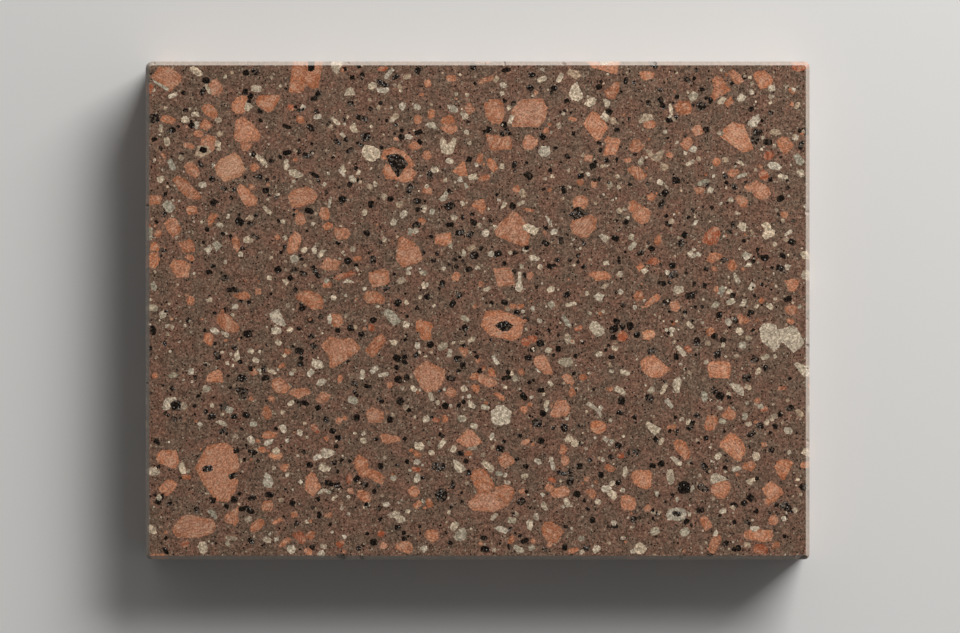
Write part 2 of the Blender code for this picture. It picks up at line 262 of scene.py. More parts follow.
        (-65.1, -31, -64.3, -28.9, -63.2, -28.7, -62.1, -30.2, -61.9, -31.7, -62.6, -32.9, -63.7, -32.9),
        (-59.9, -16.5, -58.7, -15.6, -57.8, -16.3, -58, -17.1, -59.1, -17.5, -59.9, -17.4),
        (-34, -12, -30.9, -8.2, -29, -7, -28.1, -7.8, -27.7, -9.2, -30.9, -13.9, -32, -14.2),
        (-18.6, -3.1, -17.4, -2.7, -13.9, -3.7, -13.5, -5, -14, -6, -16, -7.4, -18.5, -6.1),
        (-17.6, -6.2, -14.1, -5.7, -13.9, -8.4, -14.4, -9.2, -16.3, -9.1, -17.4, -8),
        (-5.8, -11.4, -4.1, -10.7, -3.1, -11.2, -2.6, -12.5, -3.9, -13.9, -5, -13.1),
        (-2.6, -20.3, -1.4, -18.9, 0.1, -18.7, 0.2, -20.8, -1.6, -20.9),
        (3.1, -17.8, 4.2, -17.2, 5.2, -18.2, 5.5, -19.9, 3.5, -19.9),
        (-2, -23.1, -1.1, -22.1, 0.6, -22.7, 0.6, -24.2, -0.1, -25, -1.4, -24.2),
        (4.7, -25, 6.1, -24.7, 7.8, -25.2, 8.3, -26.5, 8, -27.3, 6.7, -26.9),
        (30.3, -19.9, 31.4, -19.1, 32.7, -19.5, 33, -20.4, 31.6, -21.2, 30.7, -20.7),
        (28.2, -22.5, 29.7, -25, 28.8, -25.8, 27.8, -26, 27.2, -25),
        (33.8, -34.6, 34.2, -33.4, 36.1, -33.1, 38.2, -33.6, 38.9, -34.9, 38.4, -36.1, 36.9, -37.2, 35.6,
         -37.2, 34.2, -36.1),
        (77.8, -2.4, 78.4, -1.2, 79.5, -0.9, 80.1, -1.8, 80.1, -3.7, 79.3, -4.2, 78.4, -3.5),
        (80.1, -1.6, 81.2, -2, 82, -3, 81.2, -3.9, 80.1, -3.9),
        (92.3, 0.6, 92.9, -0.7, 94.4, -1.6, 96.1, -0.9, 96.6, 0.8, 95.1, 1.6, 92.9, 1.3),
        (92.9, -2.8, 93.6, -2.2, 94.9, -2.6, 95.5, -3.7, 94.2, -4.2, 93.2, -3.7),
        (68.7, -6.5, 69.2, -5.3, 70.3, -5, 71.6, -5.8, 71.6, -7.1, 70.7, -7.8, 69.3, -7.7),
        (68, -35.1, 69, -31.7, 71.8, -31.7, 72.5, -33.1, 71, -36.1, 69.2, -36.3),
        (-65.1, -58.6, -64.3, -57.3, -62.1, -57.1, -61.6, -58, -61.7, -59.7, -62.4, -60.6, -64.3, -60.5,
         -65, -59.9),
        (-64.9, -38.3, -64.7, -36.9, -63.4, -36.2, -60.4, -36.9, -60.6, -37.9, -62.6, -38.8),
        (-68.6, -65.5, -67.9, -64, -66, -62.6, -64.7, -62.8, -63.9, -64, -66, -66.5, -67.3, -66.9, -68.3,
         -66.4),
        (-59.6, -47.3, -58.7, -46.2, -57, -46.2, -56.6, -46.9, -57.8, -48.6, -58.7, -48.2),
        (-37.5, -46, -36, -43.2, -33.3, -44.8, -32.9, -46, -33.2, -49.2, -34.1, -50.3, -35.4, -49.9),
        (-33.7, -49, -33, -47.7, -31.8, -47.6, -29, -49, -27.7, -50.3, -28.6, -52.6, -33.5, -50.2),
        (-36.5, -55.6, -36, -54.2, -34.5, -54.1, -32.6, -54.8, -32, -56.1, -32.3, -57.4, -33.7, -57.9,
         -35.2, -57.1),
        (-52, -68, -51, -66.7, -49.5, -66.1, -48.8, -66.9, -49.1, -68.4, -50.5, -69),
        (-2.6, -49.2, -1.4, -48.2, 0.8, -47.5, 2.5, -48, 5, -52.2, 5, -54.1, 2.3, -54.9, 0.1, -54.9),
        (5, -53.1, 9.1, -52.3, 10.8, -53.5, 11.2, -54.8, 10.2, -57.1, 9.1, -58.2, 6.8, -57.9, 5, -56.3),
        (9.1, -69.7, 9.7, -68, 10.6, -67.4, 11.3, -68.7, 10.6, -70.2, 9.5, -70.5),
        (-16, -67.8, -15.5, -66.3, -14, -65.8, -12.3, -66.1, -11.4, -67.4, -11.8, -68.7, -13.3, -69.9,
         -15, -69.1),
        (19.2, -65.5, 20, -63.9, 22, -63.4, 25, -65.2, 26, -66.7, 23.9, -69.9, 22.2, -70.1, 20.6, -69.1,
         19.4, -67.4),
        (25, -40.3, 26.1, -40.5, 27.2, -41.6, 26.5, -42.8, 25.6, -43.5, 24.6, -43),
        (26.7, -72.9, 27.7, -71.7, 29.2, -71.3, 30.7, -71.4, 30.3, -72.4, 28.6, -73.1, 27.1, -73.3),
        (58.8, -40.1, 59.4, -39, 61.3, -38.8, 62.6, -39.6, 64.1, -43.1, 63.5, -44.7, 62.2, -45, 59.4,
         -41.6),
        (79.7, -47.3, 80.1, -45.9, 82.9, -45.3, 83.8, -46.3, 83.3, -47.7, 82.3, -48.4, 80.8, -48.1),
        (89.4, -46.9, 90.2, -45.4, 91.7, -44.7, 94.2, -45, 95, -45.9, 92.5, -51, 91.4, -50.9, 90, -48.9),
        (86.1, -57.4, 87, -56.3, 88.7, -57.4, 87.8, -58.6, 86.7, -58.5),
        (66.9, -62.9, 68, -61.7, 69, -62.2, 70.3, -63.8, 70.7, -65.2, 68.6, -66.5, 67.5, -64.9),
        (88.4, -70.1, 89.9, -69.3, 91, -69.9, 91.1, -71, 89.9, -71.7, 88.7, -71.6),
    ],
    "red": [
        (94.2, 75, 94.6, 72.6, 96.2, 71.9, 98.6, 72.4, 99.8, 75),
        (86, 46.2, 86.8, 47.8, 88.8, 48, 89.4, 46.8, 88.2, 45.3, 86.6, 45.4),
        (84.6, 41, 85.8, 42.6, 87.2, 41.8, 88, 40.2, 86.6, 39, 85, 39.6),
        (-43.6, 9.8, -42, 9, -36.4, 11.2, -38, 12, -41.6, 11),
        (50.8, 14.2, 52, 15.8, 53.6, 16, 55, 14.8, 53.4, 13.6),
        (67.4, 20.8, 68.6, 23.4, 71, 25.4, 72.8, 24.8, 73.2, 22.4, 72, 20, 69.6, 19.6),
        (-33.1, -4.6, -32, -3.9, -31.1, -4.6, -30.9, -5.8, -31.8, -6.5, -32.8, -5.8),
        (-50.3, -34.6, -49, -34, -48, -35.3, -47.5, -36.8, -48.6, -37.1, -49.6, -36.3),
        (12.9, -9.3, 14, -8.2, 15.3, -8.6, 16.1, -9.5, 15.1, -10.7, 13.8, -10.5),
        (14.9, -7.8, 16.6, -7.4, 17.9, -8, 17.6, -9.5, 16.2, -9.8),
        (42, -8.2, 42.9, -6.3, 43.8, -6, 45, -7.1, 45.2, -8, 44.2, -9.3, 42.7, -9.3),
        (-39.6, -50.6, -38.8, -48.8, -37.8, -49.4, -37.8, -51.4, -38.8, -52.3, -39.5, -51.7),
        (-56, -67.6, -55.2, -66.9, -53.3, -66.4, -52.2, -67.4, -51.6, -68.9, -52.3, -70.3, -53.7, -70.1),
        (-42.9, -70.1, -42, -69.1, -40.3, -69.3, -40, -70.2, -41.1, -71.4, -42.2, -71.2),
        (41.8, -43.6, 42.6, -42.8, 44, -43, 44.1, -44.2, 42.8, -44.7),
        (82.9, -71.6, 83.8, -70.5, 85, -70.2, 86.5, -70.6, 87.4, -71.9, 87, -73.1, 84.6, -73.3, 83.3,
         -72.9),
    ],
    "cream": [
        (-82.3, 68.4, -81.5, 68.5, -80, 65.6, -80.8, 65, -81.8, 66.6),
        (-69.6, 63, -68.4, 62.6, -67.7, 61.2, -69, 59.9, -70.4, 60.4),
        (-86.6, 73.2, -85.4, 73.7, -82.4, 71.5, -82.9, 70.6, -84.3, 70.5, -86.6, 72.2),
        (-44.4, 75, -40, 75, -42.4, 71, -43.8, 72.4),
        (-33, 68, -31.8, 68.9, -30.3, 68.4, -30.4, 67.2, -31.8, 66.4, -33, 66.8),
        (-30.4, 67, -26.6, 67.2, -26.8, 66, -27.6, 65.3, -30.2, 65.8),
        (-39.8, 66, -39, 67.1, -37.6, 67.3, -36.8, 64.8, -40.2, 64.6),
        (-58.2, 44, -57.4, 44.7, -56.4, 43.4, -57.6, 42.2, -58.4, 42.6),
        (-57.2, 42.2, -55, 42.6, -52.6, 41.2, -52.4, 40.3, -54.6, 39.8, -56.4, 40.6),
        (-38.6, 55.4, -37, 56.7, -36, 54, -36.2, 53.4, -37.6, 53.6, -38.6, 54.6),
        (-35.1, 47.6, -34, 50, -31.6, 49.6, -29.4, 48.4, -29.2, 46.4, -31.4, 44.8, -33.6, 45.2),
        (-23.8, 62, -22.6, 62.8, -21.4, 61.6, -22.4, 60.2, -23.4, 60.6),
        (-38.8, 40.4, -37.6, 40.8, -36.2, 39.2, -37, 38.3, -38.6, 38.8),
        (-9.2, 61.8, -8, 62, -6.6, 61.6, -5.6, 60, -7.2, 59.4, -8.4, 60),
        (-11.4, 51, -10.6, 52.3, -9.4, 50.8, -8.6, 47, -10.6, 47.4, -11.3, 49),
        (-9.6, 49.4, -7.2, 52.2, -6.2, 51.6, -7.2, 47.8, -8.6, 46.7, -10.2, 47),
        (-15.8, 55.8, -14.8, 56.7, -13.2, 56.6, -12, 55, -12.4, 54.4, -14.6, 55),
        (6.6, 68.2, 7.6, 68.8, 8.9, 68, 8.2, 66.9, 7, 67.2),
        (18.2, 47.8, 19.2, 49.6, 21.6, 49.4, 22, 47.4, 20.8, 46.2, 19, 46.4),
        (9, 56.4, 9.8, 58.9, 11.2, 58.6, 10.2, 56),
        (27.4, 65, 28.2, 67.6, 30, 68.8, 32, 64.2, 30.2, 62.9, 28.2, 63.4),
        (31.9, 62, 33.2, 63.8, 34.8, 64.4, 35.8, 63.6, 35.2, 61.8, 33.6, 61.3),
        (37.7, 63.6, 38.8, 63.8, 40, 62.8, 39.8, 61.6, 38.4, 61.2),
        (36.9, 58.2, 38.2, 60.2, 39.6, 58.8, 39.8, 57.6, 38.8, 56.7),
        (63.4, 48.2, 64.8, 49.8, 66.2, 49, 65.6, 47.5, 64, 47.8),
        (86.9, 43.8, 88.4, 44.8, 90.2, 44.6, 91.6, 43.2, 91, 42.2, 88.4, 42.4),
        (72, 62.8, 73.6, 64.4, 75, 63.8, 74, 62.2, 72.4, 62),
        (78, 64, 79.2, 65.4, 81, 64.4, 80.2, 63, 78.6, 62.9),
        (81, 56.2, 83, 58.4, 84.6, 59.2, 85.2, 57.4, 84, 55.4, 82.4, 55),
        (-82.4, 18.4, -80.4, 20, -80, 18.4, -81, 16.6),
        (-70.6, 22, -69, 22.4, -68.2, 21.4, -69, 20.2, -70.4, 20.4),
        (-64.9, 31.2, -64.2, 31.8, -61.8, 29.6, -62.2, 28.6, -63.4, 29.2),
        (-26.3, 26.6, -25.4, 28, -24.2, 27, -24.6, 25.6, -26, 25.5),
        (-50, 18.6, -49.2, 19.4, -48.4, 18.6, -48.6, 16.9, -49.6, 17.2),
        (-48.3, 16.6, -47.2, 18.2, -45.9, 18.2, -46.4, 16.6, -47.6, 15.6),
        (-58.9, 9.4, -57.4, 9.6, -56.9, 8.4, -57.6, 7.4, -58.4, 8.2),
        (-44.4, 4.2, -43.2, 4.9, -42.4, 4, -42.8, 3, -44, 3.2),
        (-40.6, 8.2, -39.6, 9.6, -38.6, 9.4, -37, 8.4),
        (-21.8, 12.2, -20.4, 13.6, -19.4, 13, -20.8, 11.8),
        (13.4, 25.6, 15, 26.2, 18.4, 24.8, 17.8, 23, 16.8, 22.7, 13.8, 24.2),
        (-8.2, 28.4, -7, 28.8, -5.9, 28.2, -6.6, 27, -7.8, 27.2),
        (6.9, 30.4, 7.6, 32.9, 8.9, 32.4, 8.6, 31.4),
        (-19.3, 24.8, -18, 25, -17.6, 23.6, -18.6, 22.8),
        (15.2, 16.4, 16.6, 16.8, 18.8, 15.6, 18.2, 14.9, 16, 14.9),
        (12.1, 11.6, 13.2, 11.6, 13.2, 8.2, 12.1, 8.2),
        (11.5, 8.2, 13, 8.6, 13.9, 6.6, 12.8, 5.5, 11.3, 6.2),
        (1.3, 6.3, 3.4, 7.4, 4.2, 6.6, 3, 5.7, 1.8, 5.7),
        (-17, 7.8, -16.2, 8.8, -15.4, 7.8, -15.6, 6.6, -16.6, 6.5),
        (36.4, 22.6, 37.4, 23.1, 39.9, 22, 38.6, 20.4, 37.6, 21),
        (21.7, 23.6, 22.8, 24.7, 24.1, 24.4, 24, 23.2, 22.4, 22.7),
        (49, 12.2, 50.6, 13, 51.4, 12, 50.2, 10.8),
        (20.8, 6.2, 21.8, 7.5, 23.3, 7, 23, 5.6, 21.4, 5.3),
        (34.9, 4.3, 36.6, 5.6, 38.2, 4.6, 37.2, 2.6, 35.8, 3),
        (41.7, 5.8, 43, 6.6, 44.1, 5.4, 43, 4.6),
        (58.6, 5.8, 59.4, 7.4, 61.9, 7.4, 62.1, 5.6, 60.2, 4.8),
        (69, 36, 69.8, 37.4, 71.2, 36.6, 70.6, 35.4, 69.4, 35.4),
        (76.6, 29.6, 77.6, 30, 79.4, 29.2, 78.6, 28.6, 77.2, 28.9),
        (64.3, 25.6, 65.4, 27.2, 66.6, 27.3, 65.6, 25.4),
        (78.2, 25.4, 79.2, 26.8, 81, 26, 80.8, 23.9, 79.6, 23.8),
        (85.3, 25.8, 86.8, 26.7, 88.2, 26, 88.6, 24.4, 86.6, 24.2),
        (85.4, 22.6, 86.8, 24.6, 89.8, 24.2, 89.4, 22.6, 86.6, 21.3),
        (92.2, 23, 94.2, 24.5, 94.9, 23.9, 94.6, 23.2, 92.5, 22.3),
        (79.6, 16.6, 80.6, 17.8, 82.6, 16.8, 82, 15.8, 80.6, 14.9),
        (80.2, 13.1, 81.4, 14.5, 82.8, 14.3, 82.4, 13.2),
        (65.4, 17.2, 66.4, 17.8, 67.6, 17, 67, 16.2, 65.8, 16.4),
        (76.8, 10.8, 77.4, 11.6, 79.2, 8.8, 78.6, 7.8, 77.8, 8.4),
        (74.6, 5, 75.4, 6.6, 77, 6, 76.4, 4.8),
        (78.6, 1.2, 79.8, 3.4, 81.1, 3.4, 80.6, 1.2),
        (96.9, 17.4, 98.8, 18, 100, 17.6, 100, 15.6, 97.8, 15.6),
        (84.8, -5.4, 86.1, -3.9, 88.3, -3.8, 90, -4.6, 91.4, -9.2, 90.8, -11, 89.3, -12.5, 85.2,
         -9),
        (90.2, -5.8, 94.7, -4.6, 96.1, -5.2, 98.1, -8.8, 98.2, -10, 97.2, -11.4, 95.1, -12.7, 90.4, -8.4),
        (-62.8, -0.9, -60, 0.6, -57.6, -4.3, -58.2, -4.8, -60.4, -4.3, -62.3, -2.9),
        (-62.2, -5.4, -60.4, -4.9, -59, -5.4, -59.1, -6.8, -60.4, -7.2, -62, -7),
        (-80.7, -5.8, -79.9, -5, -78.4, -5.4, -77.7, -6.5, -78.4, -7.4, -79.9, -6.8),
        (-73.3, -12.9, -72, -11.8, -71.5, -13.7, -71.7, -15.2, -72.8, -15.3, -73.3, -14.1),
        (-63.2, -18.2, -62.2, -17.4, -61.3, -17.8, -60.4, -18.9, -61.1, -19.4, -62.6, -18.9),
        (-94.8, -29.9, -94.8, -28, -93.9, -26.3, -90.8, -26.1, -90.5, -27, -92.9, -29.9),
        (-79.1, -33.6, -77.5, -32.9, -75.8, -33.6, -75.2, -34.9, -76.5, -34.9),
        (-59.7, -34.7, -58.7, -34.2, -57.8, -34.6, -57.4, -36.1, -58.2, -37.1, -59.2, -36.6),
        (-45.3, -1.7, -44.2, -0.9, -43.8, -2.6, -44.2, -4, -45, -4.1),
        (-26.7, -8.9, -25.3, -8.8, -23.7, -9.2, -24.7, -10.7, -25.8, -10.4),
        (-32.6, -18.4, -31.6, -16.9, -30.3, -16.5, -29.7, -17.4, -30.5, -18.6, -31.8, -19.2),
        (-50.1, -16.5, -49.7, -14.4, -46.9, -15.2, -46.2, -17.1, -47.1, -17.6, -48.7, -17.5),
        (-48.7, -22.3, -48, -20.8, -46.5, -20.4, -45.5, -21, -45.9, -22, -47.3, -22.8),
        (-3.2, -27.4, -2.6, -26.9, -1.4, -27.6, -0.5, -28.9, -1.1, -29.7, -2.6, -29.1),
        (4, -30.4, 6.1, -28.5, 8, -28.5, 10.2, -30.4, 9.8, -34, 6.8, -34.7, 5, -34.4, 4, -33.2),
        (4.1, -13.7, 5.2, -13.3, 6.7, -16.1, 5.9, -16.6, 5.1, -15.9),
        (17.4, -16.9, 18.6, -17.6, 19.6, -18.8, 18.6, -18.9, 17.7, -18),
        (33.5, -4.6, 34.4, -3.1, 35.9, -3.4, 37.8, -5, 38.4, -6.7, 37.1, -7.8, 35.9, -8, 33.9, -6.1),
        (32.5, -28.3, 33.3, -27.5, 34.6, -28, 35.8, -29.2, 35, -29.8),
        (35, -29.4, 35.7, -29, 36.9, -30, 37.5, -31.7, 36.9, -32.3),
        (40.8, -23.5, 42, -22.6, 43.5, -23.3, 44.9, -25, 44, -25.8, 41.2, -24.1),
        (55.9, -27, 57.4, -26.4, 59.1, -28.9, 58.1, -29.6),
        (50.5, -34.4, 51, -33.3, 55.3, -35.5, 54.9, -36.6, 53.4, -37.5, 52.5, -37),
        (58.7, -21.6, 59.6, -20.1, 60.8, -19.9, 61.5, -21.4, 60.6, -25, 59.8, -24.8, 58.8, -23.6),
        (59.5, -10.3, 60.5, -10.2, 62.8, -12.9, 63, -13.7, 61.8, -13.9, 59.8, -11.5),
        (95.2, -16.1, 96.1, -15.6, 98.7, -18.6, 98.3, -19.9, 97, -18.8),
        (75.4, -22, 76.9, -21.8, 78.9, -22.3, 79.9, -23.1, 80.4, -25.5, 79.5, -25.7, 78.2, -25.2),
        (-99, -48.4, -98.2, -47.2, -96.5, -47, -95.5, -48.4, -95.7, -49.4, -98.2, -49.7),
        (-90.1, -46.9, -89.7, -46, -88.6, -45.7, -87.5, -48.4, -87.8, -49.2, -89.3, -49.2),
        (-64.8, -52.2, -63.9, -48.7, -63, -49, -61.7, -50.5, -61.5, -52, -62.2, -53.5, -63.9, -53.1),
        (-84.4, -71, -83.5, -69.6, -81.8, -69.5, -81.2, -71, -81.4, -72.7, -82.6, -73.6, -83.5, -72.8),
        (-98.9, -65.3, -98, -64.4, -97, -65.6, -96.5, -67, -97.2, -67.4, -98.4, -66.3),
        (-49.7, -44.3, -48.6, -43.3, -47.1, -43.1, -46.5, -44.1, -47.8, -45, -49.3, -45.3),
        (-47.3, -42, -45.9, -41.3, -42.9, -42.3, -42.8, -43.3, -45.9, -44.8, -46.9, -43.7),
        (-47.9, -46.9, -47.1, -45.9, -43.9, -47.5, -44.8, -48.4, -46.5, -48.6, -47.8, -47.8),
        (-44.4, -57.1, -43.3, -55.8, -42.2, -55.2, -41.9, -55.9, -43.7, -57.4),
        (-27.3, -61.6, -24.7, -60.1, -23.4, -60.8, -23.9, -62.3, -25.8, -62.5),
        (-24.9, -62.3, -23.2, -61.6, -21.7, -62.3, -21.7, -63.5, -22.8, -64, -24.3, -63.8),
        (-57.5, -71.9, -57, -70.8, -55.4, -70.5, -54.7, -71.6, -55, -72.9, -56.1, -73.3, -57.2, -72.7),
        (-19.3, -40.5, -18.7, -39.6, -16.9, -39.7, -15.9, -40.7, -16.5, -42.2, -18.6, -41.8),
        (1, -46, 1.8, -45, 4, -46, 5, -47.3, 4.8, -48.6, 3.6, -48.7),
        (-7.3, -45, -6.5, -45, -3.9, -46.9, -3.5, -47.7, -4.8, -48.8, -5.9, -48.9, -7.1, -47.3),
        (5, -65.7, 6.1, -64.8, 8, -65.2, 9.5, -66.1, 8.7, -67.2, 6.5, -66.7),
        (14.7, -63.8, 15.3, -62.8, 16.6, -63.1, 16.6, -65.3, 16.1, -66.3, 14.9, -65.7),
        (-8.5, -65.3, -8, -64, -6.7, -63.5, -5.6, -64, -5.8, -65.2, -6.9, -66.4, -7.8, -66.3),
        (18.9, -58.6, 19.8, -57.4, 20.6, -58.1, 21.2, -59.9, 20.6, -60.4, 19.6, -59.7),
        (26, -38.6, 27.1, -37.5, 28.4, -37.9, 29, -38.8, 28, -39.6, 26.5, -39.6),
        (28, -39.2, 29.5, -38.6, 30.5, -39.6, 30.1, -40.9, 29, -41.3, 28.2, -40.5),
        (57.9, -44.2, 58.9, -43.7, 61.8, -45.9, 61.2, -46.9, 59.8, -46.4),
        (56.7, -49.2, 57.2, -47.9, 58.7, -47.7, 59.4, -51, 58.5, -52.6, 57.4, -52.2),
        (37.1, -53.7, 37.8, -52.6, 40.1, -52.7, 40.4, -53.9, 38.9, -54.9, 37.6, -54.6),
        (38.8, -54.8, 40.4, -53.9, 41.9, -54.8, 41.8, -56.5, 41, -57.3, 39.5, -56),
        (34.5, -72.1, 35.2, -70.8, 36.5, -70.6, 37.1, -71.6, 36.5, -72.5, 35.2, -73.3),
        (47, -71.4, 47.8, -70.1, 48.9, -69.8, 50.4, -70.6, 51, -71.9, 50, -73.3, 48.2, -73.3, 47.1, -72.5),
        (45.8, -72.3, 47, -71.6, 47.6, -73.1, 46.3, -73.3),
        (76.1, -48.2, 76.7, -47.1, 78.2, -46.8, 79.6, -47.3, 78.9, -48.2, 77.4, -48.6),
        (69.9, -51.6, 70.3, -49.5, 71.4, -49, 73.3, -49.4, 75.4, -50.9, 70.6, -52.3),
        (80.5, -51.2, 83.3, -50.2, 84.1, -50.9, 82.3, -52.6, 81, -52),
        (72.5, -60.5, 73.9, -59.3, 74.9, -59.9, 74.8, -61, 73.1, -61.3),
        (71, -67, 71.8, -65.8, 72.5, -66.7, 72, -68, 70.7, -68),
        (-64.5, -40.7, -64.3, -39.6, -63, -38.8, -61.3, -38.7, -62.1, -40.1, -63.4, -40.8),
        (-12.2, -40.9, -10.3, -38.3, -9.3, -39.6, -11, -41.6),
        (3.8, -62.9, 4.2, -61.8, 5.5, -60.9, 6.3, -61.4, 5.5, -62.6, 4.6, -63.3),
        (56.8, -61.2, 57.4, -59.9, 59.8, -59.3, 61.8, -59.5, 63, -60.5, 62.6, -62.8, 60.5, -63.3, 57.2,
         -63.1),
        (82.6, -43.9, 82.9, -42.4, 84.6, -42.8, 85.2, -44.1, 84.6, -45.2, 83.3, -45.3),
        (97.4, -43, 98.1, -41.5, 100, -41.1, 100, -43.7, 98.9, -43.9),
        (82, -65, 84.6, -64.9, 85, -65.7, 83.1, -66.9, 82.2, -66),
        (-17.4, -71.6, -16.4, -70.6, -15.2, -70.9, -15, -72.2, -16.2, -72.9),
    ],
    "tan": [
        (-84.2, 49.6, -81.4, 49.8, -80, 47.6, -83.6, 45.9, -85.3, 46.7),
        (26.6, 71.4, 27.6, 72.8, 30.2, 72, 31.6, 70.6, 29.4, 69.6),
        (48.4, 57, 50.2, 59.4, 52.6, 59, 53, 57.6, 48.8, 56.2),
        (50.3, 48.6, 52.2, 48.2, 53.6, 46, 53, 45, 51.4, 46.6),
        (53, 46.8, 55.2, 48.6, 56.4, 48.4, 55.4, 45.6, 54, 44.8, 52.6, 45.2),
        (55, 43.8, 55.8, 44.6, 57.3, 43.8, 57.4, 42.6, 56.2, 41.9, 55, 42.6),
        (71.8, 53.2, 72.8, 54.2, 74.4, 53.6, 73.6, 52.4),
        (87.6, 53.6, 88.6, 54.6, 90.6, 54.6, 91.6, 53.2, 89.8, 52.6, 88.4, 53),
        (-70, 27.4, -68.6, 28.9, -67.2, 28.4, -67.6, 27.2),
        (-29.2, 34, -28.4, 35.4, -27, 34.6, -28, 33),
        (-29, 20.6, -28.4, 22.6, -27.2, 21.8, -27.4, 20.3),
        (41.6, 30.4, 42.8, 31, 43.8, 30.2, 43.2, 29.1, 42, 29.3),
        (36.6, 6.8, 38.2, 8, 40, 8.2, 38.4, 6.4),
        (81.8, 24.2, 82.6, 24.8, 83.4, 23.2, 82.8, 22.6),
        (-89, -27.2, -87.6, -28, -87.3, -29.1, -88.2, -30.2, -89.5, -30),
    ],
    "grey": [
        (-98, 69.7, -97.8, 68.9, -93.3, 65.9, -92.8, 66.8),
        (63.2, 64.6, 64.8, 66, 66.6, 65.2, 65.8, 63.4, 64.2, 62.9),
        (95, 46.6, 96.6, 47.4, 98.6, 45, 97.6, 43.6, 96, 44.2),
        (48.2, 44.8, 49.4, 46.4, 50, 45.6, 49.8, 43.8, 48.6, 43.6),
        (-95, 31.8, -93.8, 33.2, -92.4, 33, -91, 31, -92, 29.4, -93.6, 29.6),
        (-98.8, 25, -97.8, 25, -98, 21.2, -99, 21),
        (-98.6, 8.2, -97.4, 8.8, -96.4, 7, -97, 5.7, -98.2, 6.4),
        (-80, 20.2, -78.4, 21, -76.8, 19.6, -78.6, 17.6),
        (-58.8, 22.4, -57.6, 22.8, -57, 21.6, -58, 20.9),
        (-11.8, 33.4, -9.6, 36, -8.6, 35.6, -9.4, 33.2, -11, 32.8),
        (-4.2, 38.6, -3.4, 38.4, -2.6, 37, -3.6, 36.2),
        (-5, 16.4, -4.4, 18.6, -3.4, 17.6, -3.8, 16.2),
        (12.6, 14.2, 13.8, 13.8, 14, 12.4, 12.9, 12.4),
        (-17.8, 11.8, -16, 12.3, -15, 11.4, -15.8, 10.4, -17, 10.6),
        (20.8, 2.2, 22.6, 3, 23.6, 1.4, 22, 0.4),
        (45.2, 21.6, 46, 23.4, 47.2, 22.8, 47, 20.9),
        (70, 1, 71.6, 3, 73, 2, 72, 0.6),
        (-28.8, -0.5, -27.1, 0.6, -25.3, -0.3, -23, -3.1, -23.7, -4, -25.4, -4.6),
        (25.2, -2, 26, -1.3, 27.5, -3, 28.3, -4.6, 27.8, -5.2, 26.5, -4.5),
        (24, -15.4, 25, -14.4, 28.2, -14.1, 28.7, -15.2, 28.4, -16.7, 26.5, -17.2, 24.6, -16.2),
        (-81.4, -60.5, -80.3, -59.7, -79, -60.5, -78.4, -62.3, -78.8, -63.2),
        (-7.4, -68.2, -5.6, -65.8, -4, -65.2, -3.2, -67, -3.6, -68.8, -5, -69.6, -6.6, -69.2),
    ],
    "quartz": [
        (60.2, -53.3, 60.7, -51.6, 62.4, -51.2, 63.7, -52, 64.2, -54.2, 63.7, -55, 62, -55.4, 60.5, -54.8),
    ],
    "speckled": [
        (-27.6, 46.6, -25, 47.2, -22.6, 46.6, -21, 44.2, -24, 40, -26.4, 43.6),
        (8, 54.6, 9.2, 55, 10.6, 52.8, 9.6, 52.6, 8.4, 53.6),
        (27.4, 28.6, 29, 30.6, 30.4, 31.4, 34, 28.8, 29, 27.2),
        (-73, -23.6, -71.3, -22.9, -68.6, -23.8, -69.8, -26.7, -71.3, -26.8),
        (-92.6, -28, -91.2, -27, -89.1, -27.2, -89, -28.7, -89.7, -30.4, -92, -30),
        (5.3, -4.6, 6.5, -3.5, 8.7, -3, 10.8, -4.6, 9.1, -6.3, 7.2, -6.3),
        (-12.9, -55.6, -12.5, -54.1, -10.8, -53.3, -9.3, -54, -9, -55.4, -9.5, -57.1, -10.8, -57.9, -12.2,
         -57.4),
        (91, -59.3, 91.5, -57.8, 93.2, -57.4, 95.5, -60.5, 94.7, -61, 92.9, -60.6),
    ],
}
